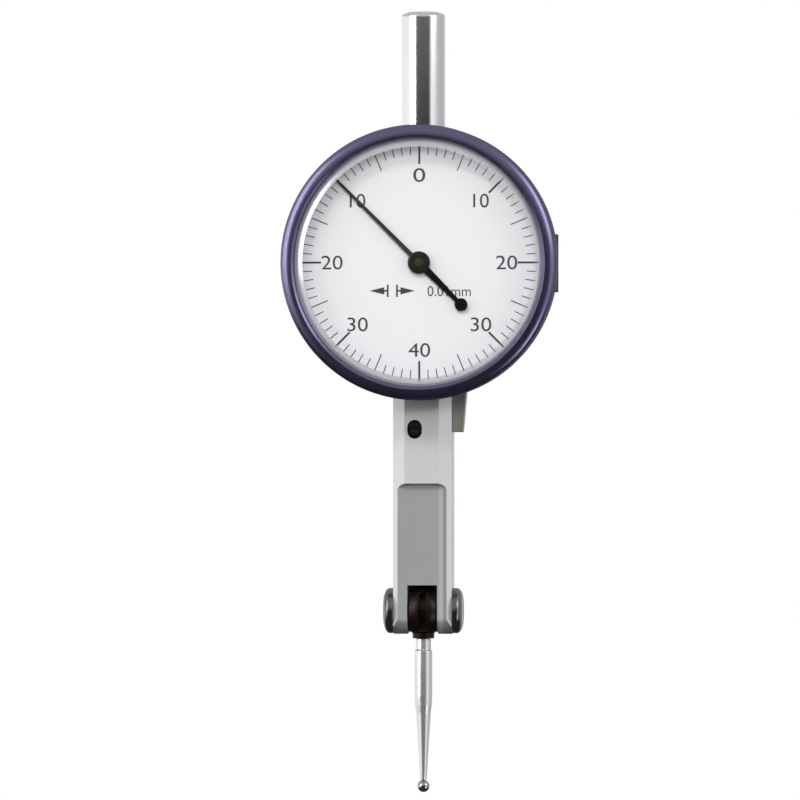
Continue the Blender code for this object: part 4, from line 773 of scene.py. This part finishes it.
hand = {
    "angle": -45.0, "length": 15.9, "tipHalf": 0.17, "rootHalf": 0.32, "front": -9.2, "thick": 0.2,
    "disc": 1.4, "tail": 8.1, "tailRoot": 0.5, "tailEnd": 0.3, "tailDisc": 0.88,
}
boss = {
    "radius": 1.53, "front": -9.6, "back": -9.24, "neck": 0.55, "neckBack": -8.75, "middle": 0.6,
}


def bladePiece(name, along, half):
    # A flat blade: half gives its half width at each distance along it. Its front edges are eased,
    # and it is turned clockwise by the hand's angle as seen from the front
    h = hand
    front, back = h["front"], h["front"] + h["thick"]
    across = np.array([(-1.0, back), (-1.0, front + 0.05), (-0.86, front), (0.86, front),
                       (1.0, front + 0.05), (1.0, back)])
    x = half[:, None] * across[None, :, 0]
    z = np.repeat(along[:, None], len(across), axis=1)
    angle = math.radians(h["angle"])
    turnedX = x * math.cos(angle) + z * math.sin(angle)
    turnedZ = z * math.cos(angle) - x * math.sin(angle)
    y = np.repeat(across[None, :, 1], len(along), axis=0)
    points = np.stack([turnedX, y, turnedZ + heights["dial"]], axis=-1) * mm
    # both ends close on the blade's middle line
    middle = points.mean(axis=1, keepdims=True)
    points = np.concatenate([np.repeat(middle[:1], len(across), axis=1), points,
                             np.repeat(middle[-1:], len(across), axis=1)])
    return gridPiece(name, points, smoothAngle=25.0)


def makePointer():
    h = hand
    discAngle = np.linspace(0.0, 0.5 * np.pi, 12)
    hub = h["disc"] * np.sin(discAngle)
    hubHalf = h["disc"] * np.cos(discAngle)
    reach = np.linspace(h["disc"], h["length"], 30)
    share = (reach - h["disc"]) / (h["length"] - h["disc"])
    taper = h["rootHalf"] + (h["tipHalf"] - h["rootHalf"]) * share
    along = np.concatenate([hub[:-1], reach, [h["length"] + 0.08]])
    half = np.concatenate([np.maximum(hubHalf[:-1], h["rootHalf"]), taper, [0.04]])
    front = bladePiece("pointerHand", along, half)
    place(front, "pointer_group", surfaces["pointer"], "pointer_paint", "pointer")
    end = np.linspace(0.0, np.pi, 18)
    endAlong = -h["tail"] + h["tailDisc"] * np.cos(end)
    endHalf = np.maximum(h["tailDisc"] * np.sin(end), 0.02)
    endHalf[0] = h["tailEnd"]
    shaft = np.linspace(-h["disc"], endAlong[0] - 0.02, 16)[:-1]
    share = (shaft + h["disc"]) / (endAlong[0] + h["disc"])
    shaftHalf = h["tailRoot"] + (h["tailEnd"] - h["tailRoot"]) * share
    along = np.concatenate([-hub[:-1], shaft, endAlong])
    half = np.concatenate([np.maximum(hubHalf[:-1], h["tailRoot"]), shaftHalf, endHalf])
    beforeEnd = (along < -h["tail"] + 0.9) & (along > -h["tail"])
    half = np.where(beforeEnd, np.maximum(half, h["tailEnd"]), half)
    back = bladePiece("pointerTail", along, half)
    place(back, "pointer_group", surfaces["tail"], "pointer_paint")
    b = boss
    corners = [
        (0.0, b["front"]), (0.5, b["front"], 0.06), (0.62, b["front"] + 0.1, 0.04),
        (1.25, b["front"] + 0.12, 0.08), (b["radius"], b["front"] + 0.24, 0.06), (b["radius"], b["back"]),
        (b["neck"], b["back"]), (b["neck"], b["neckBack"]), (0.0, b["neckBack"]),
    ]
    piece = turnedPiece("pointerBossCap", corners, "Y", (0.0, 0.0, heights["dial"]), 96)
    place(piece, "pointer_group", surfaces["boss"], "pointer_paint", "pointer_boss")
    centres, _ = facePlaces(piece)
    paintFaces(piece, fromDialAxis(centres) < b["middle"], "pointer")


makePointer()
print("pointer made")


# Screws and caps

screws = {
    # node: (name, axis, centre along the other two axes, head radius, head height, seat, outward, finish)
    "span_screw": ("armBlackScrew", "Y", (-0.95, -49.1), 0.9, 0.6, -3.25, -1.0, "black"),
    "arm_cover_screw_1": ("armCoverScrew1", "Y", (0.0, -66.4), 0.9, 0.45, 3.55, 1.0, "steel"),
    "arm_cover_screw_2": ("armCoverScrew2", "Y", (0.0, -44.8), 0.9, 0.45, 3.55, 1.0, "steel"),
    "back_dovetail_screw_1": ("backBarScrew1", "Y", (0.0, -30.6), 1.1, 0.8, 5.3, 1.0, "steel"),
    "back_dovetail_screw_2": ("backBarScrew2", "Y", (0.0, -22.2), 1.1, 0.8, 5.3, 1.0, "steel"),
    "side_dovetail_screw_1": ("sideBarScrew1", "X", (-2.1, -26.4), 1.0, 0.8, 17.4, 1.0, "steel"),
    "side_dovetail_screw_2": ("sideBarScrew2", "X", (1.9, -26.4), 1.0, 0.8, 17.4, 1.0, "steel"),
    "changeover_screw": ("changeoverHeadScrew", "X", (0.5, -42.8), 1.05, 0.5, 6.0, 1.0, "steel"),
}
coverCircle = {"radius": 11.6, "angles": (40.0, 140.0, 220.0, 320.0)}
for number, degrees in enumerate(coverCircle["angles"], 1):
    spin = math.radians(degrees)
    spot = (coverCircle["radius"] * math.sin(spin),
            coverCircle["radius"] * math.cos(spin) + heights["dial"])
    screws[f"back_cover_screw_{number}"] = (
        f"backCoverScrew{number}", "Y", spot, 1.25, 0.5, 3.5, 1.0, "steel",
    )


def makeScrew(node):
    # A turned head with an eased rim and a sawn slot. The shank goes as deep as the solid's own
    name, axis, (a, b), radius, height, seat, outward, finish = screws[node]
    low, high = (np.array(corner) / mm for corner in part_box(node))
    column = {"X": 0, "Y": 1}[axis]
    deep = low[column] if outward > 0 else high[column]
    top = seat + outward * height
    corners = [
        (0.0, top), (radius, top, 0.12 * radius), (radius, seat), (0.45 * radius, seat),
        (0.45 * radius, deep), (0.0, deep),
    ]
    centre = {"X": (0.0, a, b), "Y": (a, 0.0, b)}[axis]
    piece = turnedPiece(name, corners, axis, centre, 48)
    floor, above = sorted((top - outward * 0.5 * height, top + outward))
    half, reach = 0.15 * radius, 1.4 * radius
    spans = {
        "X": ((floor, a - reach, b - half), (above, a + reach, b + half)),
        "Y": ((a - reach, floor, b - half), (a + reach, above, b + half)),
    }
    cutAway(piece, boxPiece(name + "Saw", *spans[axis]), bevel=0.02)
    body = "changeover_group" if node == "changeover_screw" else "case"
    slotName = "black_steel" if finish == "black" else "bright_steel"
    place(piece, body, surfaces[finish], slotName, node)


caps = {
    "radius": 3.1, "rim": 0.55, "height": 1.42, "flat": 1.4, "base": 4.05, "slotHalf": 0.25,
    "slotDepth": 0.4, "shank": (1.2, 2.0), "bore": (0.5, 1.5, 3.0),
}


def makePivotCap(node, name, side):
    # Rim, quarter ellipse up to a flat, and a screwdriver slot across it
    c = caps
    share = np.linspace(0.0, 0.5 * np.pi, 14)
    domeRadius = c["flat"] + (c["radius"] - c["flat"]) * np.cos(share)
    domeHeight = c["rim"] + (c["height"] - c["rim"]) * np.sin(share)
    shank, end = c["shank"][0], side * c["shank"][1]
    corners = [(0.0, end), (shank, end), (shank, side * c["base"]),
               (c["radius"] - 0.06, side * c["base"]), (c["radius"], side * (c["base"] + 0.06))]
    corners += [(r, side * (c["base"] + h)) for r, h in zip(domeRadius, domeHeight)]
    corners += [(0.0, side * (c["base"] + c["height"]))]
    piece = turnedPiece(name, corners, "X", (0.0, 0.0, heights["pivot"]), 96, smoothAngle=50.0)
    floor, above = sorted((side * (c["base"] + c["height"] - c["slotDepth"]), side * (c["base"] + 3.0)))
    saw = boxPiece(name + "Saw", (floor, -c["slotHalf"], heights["pivot"] - 4.0),
                   (above, c["slotHalf"], heights["pivot"] + 4.0))
    radius, near, far = c["bore"][0], side * c["bore"][1], side * c["bore"][2]
    bore = turnedPiece(name + "Bore", [(0.0, near), (radius, near), (radius, far), (0.0, far)], "X",
                       (0.0, 0.0, heights["pivot"]), 24)
    cutAway(piece, saw, bore, bevel=0.03)
    place(piece, "case", surfaces["cap"], "polished_chrome", node)


for node in screws:
    makeScrew(node)
makePivotCap("left_pivot_cap", "leftPivotDome", -1.0)
makePivotCap("right_pivot_cap", "rightPivotDome", 1.0)
print("screws made")


# Hub, stylus and ball

hub = {
    "radius": 3.42, "half": 1.8, "bore": 0.85, "boss": 1.5, "bossStart": 2.9, "bossEnd": 3.8,
    "slotHalf": 0.45, "thread": (0.9, -2.6, -5.0),
    # start and end in degrees from straight down, and radius in mm, of the slot's floor
    "slotArcs": ((-50.0, 50.0, 2.5), (50.0, 310.0, 5.4)),
}
stylus = [
    # (radius, height over the pivot)
    (0.85, -2.65), (0.85, -3.87), (1.05, -3.87), (1.05, -5.3), (1.22, -5.5), (1.22, -11.8),
    (1.16, -12.9), (1.02, -14.0), (0.90, -15.8), (0.78, -17.7), (0.655, -19.7), (0.53, -21.8),
    (0.42, -23.18), (0.26, -23.2), (0.26, -23.66), (0.0, -23.66),
]
contact = {"radius": 0.83, "hole": 0.3, "floor": 0.23}


def makeHub():
    # A ball with flat sides, a neck for the stylus, and a slot that only the stylus side bridges
    u, z = hub, heights["pivot"]
    x = np.linspace(-u["half"], u["half"], 25)
    corners = [(u["bore"], -u["half"]), *zip(np.sqrt(u["radius"] ** 2 - x**2), x), (u["bore"], u["half"])]
    piece = turnedPiece("stylusBall", corners, "X", (0.0, 0.0, z), 160, ring=True, smoothAngle=30.0)
    neck = turnedPiece("stylusNeck", [(0.0, -u["bossStart"]), (u["boss"], -u["bossStart"]),
                                      (u["boss"], -u["bossEnd"], 0.15), (0.0, -u["bossEnd"])],
                       "Z", (0.0, 0.0, z), 96)
    joined = piece.modifiers.new("neck", "BOOLEAN")
    joined.operation, joined.object, joined.solver = "UNION", neck, "EXACT"
    applyModifiers(piece)
    bpy.data.objects.remove(neck, do_unlink=True)
    slot = []
    for start, end, radius in u["slotArcs"]:
        angle = np.radians(np.linspace(start, end, 40))
        slot.append(np.column_stack([radius * np.sin(angle), -radius * np.cos(angle)]))
    outline = np.vstack(slot)
    sides = np.stack([
        np.column_stack([np.full(len(outline), side), outline[:, 0], outline[:, 1] + z])
        for side in (-u["slotHalf"], u["slotHalf"])
    ]) * mm
    count = len(outline)
    ring = np.arange(count)
    faces = [ring[::-1].tolist(), (ring + count).tolist()]
    faces += np.column_stack([ring, np.roll(ring, -1), np.roll(ring, -1) + count, ring + count]).tolist()
    mesh = bpy.data.meshes.new("stylusSlotCut")
    mesh.from_pydata(sides.reshape(-1, 3).tolist(), [], faces)
    cutter = addToScene("stylusSlotCut", mesh)
    tidyMesh(cutter, 30.0)
    radius, top, low = u["thread"]
    thread = turnedPiece("stylusThreadCut", [(0.0, top), (radius, top), (radius, low), (0.0, low)],
                         "Z", (0.0, 0.0, z), 32)
    cutAway(piece, cutter, thread, bevel=0.05)
    place(piece, "stylus_group", surfaces["hub"], "black_steel", "stylus_hub")


def makeStylus():
    z = heights["pivot"]
    corners = [(0.0, stylus[0][1])]
    for radius, height in stylus[:-1]:
        # the taper's corners are rounded more than the steps
        rounding = 0.25 if 0.6 < radius < 1.2 and height < -11.0 else 0.05
        corners.append((radius, height, rounding))
    corners.append(stylus[-1])
    piece = turnedPiece("stylusShank", corners, "Z", (0.0, 0.0, z), 96, smoothAngle=40.0)
    place(piece, "stylus_group", surfaces["stylus"], "bright_steel", "stylus")
    c = contact
    start = math.asin(c["hole"] / c["radius"])
    rim = np.linspace(start, np.pi, 40)
    corners = [(0.0, c["floor"]), (c["hole"], c["floor"])]
    corners += list(zip(c["radius"] * np.sin(rim), c["radius"] * np.cos(rim)))
    piece = turnedPiece("contactTip", corners, "Z", (0.0, 0.0, heights["contact"]), 64)
    place(piece, "stylus_group", surfaces["ball"], "carbide", "contact_ball")


def makeChangeover():
    piece = softenedCopy("changeover_lever", "changeoverBlade", 0.1)
    place(piece, "changeover_group", surfaces["lever"], "hardened_steel", "changeover_lever")


makeHub()
makeStylus()
makeChangeover()
print("stylus made")


# Finishes of the solids that stay as they are

carried = {
    "brass": ["left_plate", "right_plate", "pointer_cock", "hairspring_stud", "hairspring_collet",
              "crown_wheel", "sector_lever", "dial_retainer"],
    "steel": ["upper_pillar", "lower_pillar", "frame_screw_1", "frame_screw_2", "cock_screw",
              "hairspring", "bezel_snap_ring", "centre_arbor", "crown_arbor", "sector_arbor",
              "drive_pin", "pivot_shaft", "changeover_spindle"],
    "ruby": ["front_jewel", "rear_jewel"],
    "hub": ["measuring_lever", "left_hub_washer", "right_hub_washer"],
}
for finish, names in carried.items():
    for name in names:
        nodes[name].data.materials.clear()
        nodes[name].data.materials.append(surfaces[finish])
print("movement finished")


# Floor, light and camera

# The floor glows a little, so that it is as white as the backdrop and its edge doesn't show
floor = {"height": -300.0, "half": 350.0, "glow": 0.7}
lights = {
    # name: (azimuth from the front towards the right, elevation, distance in mm, size in mm,
    #        power in W, seen in reflections)
    "leftStrip": (-44.0, 16.0, 560.0, (80.0, 386.0), 0.6, True),
    "leftSoftbox": (-64.0, 18.0, 560.0, (130.0, 460.0), 0.5, True),
    "upperRight": (60.0, 25.0, 600.0, (320.0, 300.0), 0.9, True),
    "lowerRight": (56.0, -30.0, 600.0, (200.0, 200.0), 0.45, True),
    "frontHigh": (-10.0, 37.0, 640.0, (200.0, 110.0), 2.1, False),
    "frontFill": (10.0, 12.0, 700.0, (240.0, 90.0), 1.85, False),
}
camera = {"azimuth": 4.0, "lens": 500.0, "width": 109.44, "right": -3.215, "height": -45.1}


def makeFloor():
    half, z = floor["half"], floor["height"]
    corners = np.array([[-half, -half, z], [half, -half, z], [half, half, z], [-half, half, z]]) * mm
    mesh = bpy.data.meshes.new("paleFloor")
    mesh.from_pydata(corners.tolist(), [], [(0, 1, 2, 3)])
    piece = addToScene("paleFloor", mesh)
    paper = paintSurface("palePaper", (0.88, 0.88, 0.88), 0.7, specks=0.01, scale=40.0)
    glow = paper.node_tree.nodes["Principled BSDF"].inputs
    glow["Emission Color"].default_value = (1.0, 1.0, 1.0, 1.0)
    glow["Emission Strength"].default_value = floor["glow"]
    piece.data.materials.append(paper)
    piece.visible_glossy = piece.visible_diffuse = False


def makeLights():
    aim = Vector((0.0, 0.0, -0.04))
    for name, (azimuth, elevation, distance, size, power, mirrored) in lights.items():
        lamp = bpy.data.lights.new(name, "AREA")
        lamp.shape, lamp.size, lamp.size_y = "RECTANGLE", size[0] * mm, size[1] * mm
        lamp.energy = power
        holder = addToScene(name, lamp)
        turn, rise = math.radians(azimuth), math.radians(elevation)
        way = Vector((math.sin(turn) * math.cos(rise), -math.cos(turn) * math.cos(rise), math.sin(rise)))
        holder.location = aim + way * distance * mm
        holder.rotation_euler = (aim - holder.location).to_track_quat("-Z", "Y").to_euler()
        holder.visible_camera = False
        holder.visible_glossy = mirrored


studio = {
    # grey level round the horizon: (azimuth from the front towards the right, level)
    "round": [(-180.0, 0.9), (-120.0, 0.9), (-46.0, 0.95), (-34.0, 0.04), (34.0, 0.025),
              (46.0, 0.85), (62.0, 0.75), (85.0, 0.5), (125.0, 0.42), (150.0, 0.6), (180.0, 0.9)],
    "above": 0.5, "below": 0.05, "strength": 1.1,
}


def makeWorld():
    # White to the camera. Reflections see a grey studio: light at the left and behind, dark in
    # front of the dial, dim below
    world = bpy.data.worlds.new("paleStudio")
    bpy.context.scene.world = world
    world.use_nodes = True
    tree = world.node_tree
    backdrop = tree.nodes["Background"]
    backdrop.inputs["Color"].default_value = (1.0, 1.0, 1.0, 1.0)
    room = addNode(tree, "ShaderNodeBackground")
    way = addNode(tree, "ShaderNodeTexCoord").outputs["Generated"]
    parts = addNode(tree, "ShaderNodeSeparateXYZ", {0: way})
    back = addNode(tree, "ShaderNodeMath", {0: parts.outputs["Y"]}, operation="MULTIPLY")
    back.inputs[1].default_value = -1.0
    turn = addNode(tree, "ShaderNodeMath", {0: parts.outputs["X"], 1: back.outputs[0]},
                   operation="ARCTAN2")
    share = addRange(tree, turn.outputs[0], (-math.pi, math.pi))
    levels = [((azimuth + 180.0) / 360.0, level) for azimuth, level in studio["round"]]
    mixed = addRamp(tree, share, levels)
    for label, limits in (("above", (0.03, 0.3)), ("below", (-0.15, -0.45))):
        reach = addRange(tree, parts.outputs["Z"], limits, interpolation_type="SMOOTHSTEP")
        blend = addNode(tree, "ShaderNodeMix", {"Factor": reach, 6: mixed}, data_type="RGBA")
        blend.inputs[7].default_value = (studio[label], studio[label], studio[label], 1.0)
        mixed = blend.outputs[2]
    tree.links.new(mixed, room.inputs["Color"])
    room.inputs["Strength"].default_value = studio["strength"]
    path = addNode(tree, "ShaderNodeLightPath")
    choice = addNode(tree, "ShaderNodeMixShader",
                     {0: path.outputs["Is Camera Ray"], 1: room.outputs[0], 2: backdrop.outputs[0]})
    tree.links.new(choice.outputs[0], tree.nodes["World Output"].inputs["Surface"])


def makeCamera():
    # The picture is square, so its half width over the distance is the lens's half angle
    c = camera
    turn = math.radians(c["azimuth"])
    right = Vector((math.cos(turn), math.sin(turn), 0.0))
    back = Vector((math.sin(turn), -math.cos(turn), 0.0))
    data = bpy.data.cameras.new("bench")
    data.lens, data.sensor_width = c["lens"], 36.0
    distance = 0.5 * c["width"] * mm / (0.5 * data.sensor_width / data.lens)
    holder = addToScene("bench", data)
    target = right * c["right"] * mm + Vector((0.0, 0.0, c["height"] * mm))
    holder.location = target + back * distance
    holder.rotation_euler = (-back).to_track_quat("-Z", "Y").to_euler()
    data.clip_start, data.clip_end = 0.05, 20.0
    bpy.context.scene.camera = holder


makeFloor()
makeLights()
makeWorld()
makeCamera()
bpy.context.scene.view_settings.view_transform = "Standard"
print("studio made")
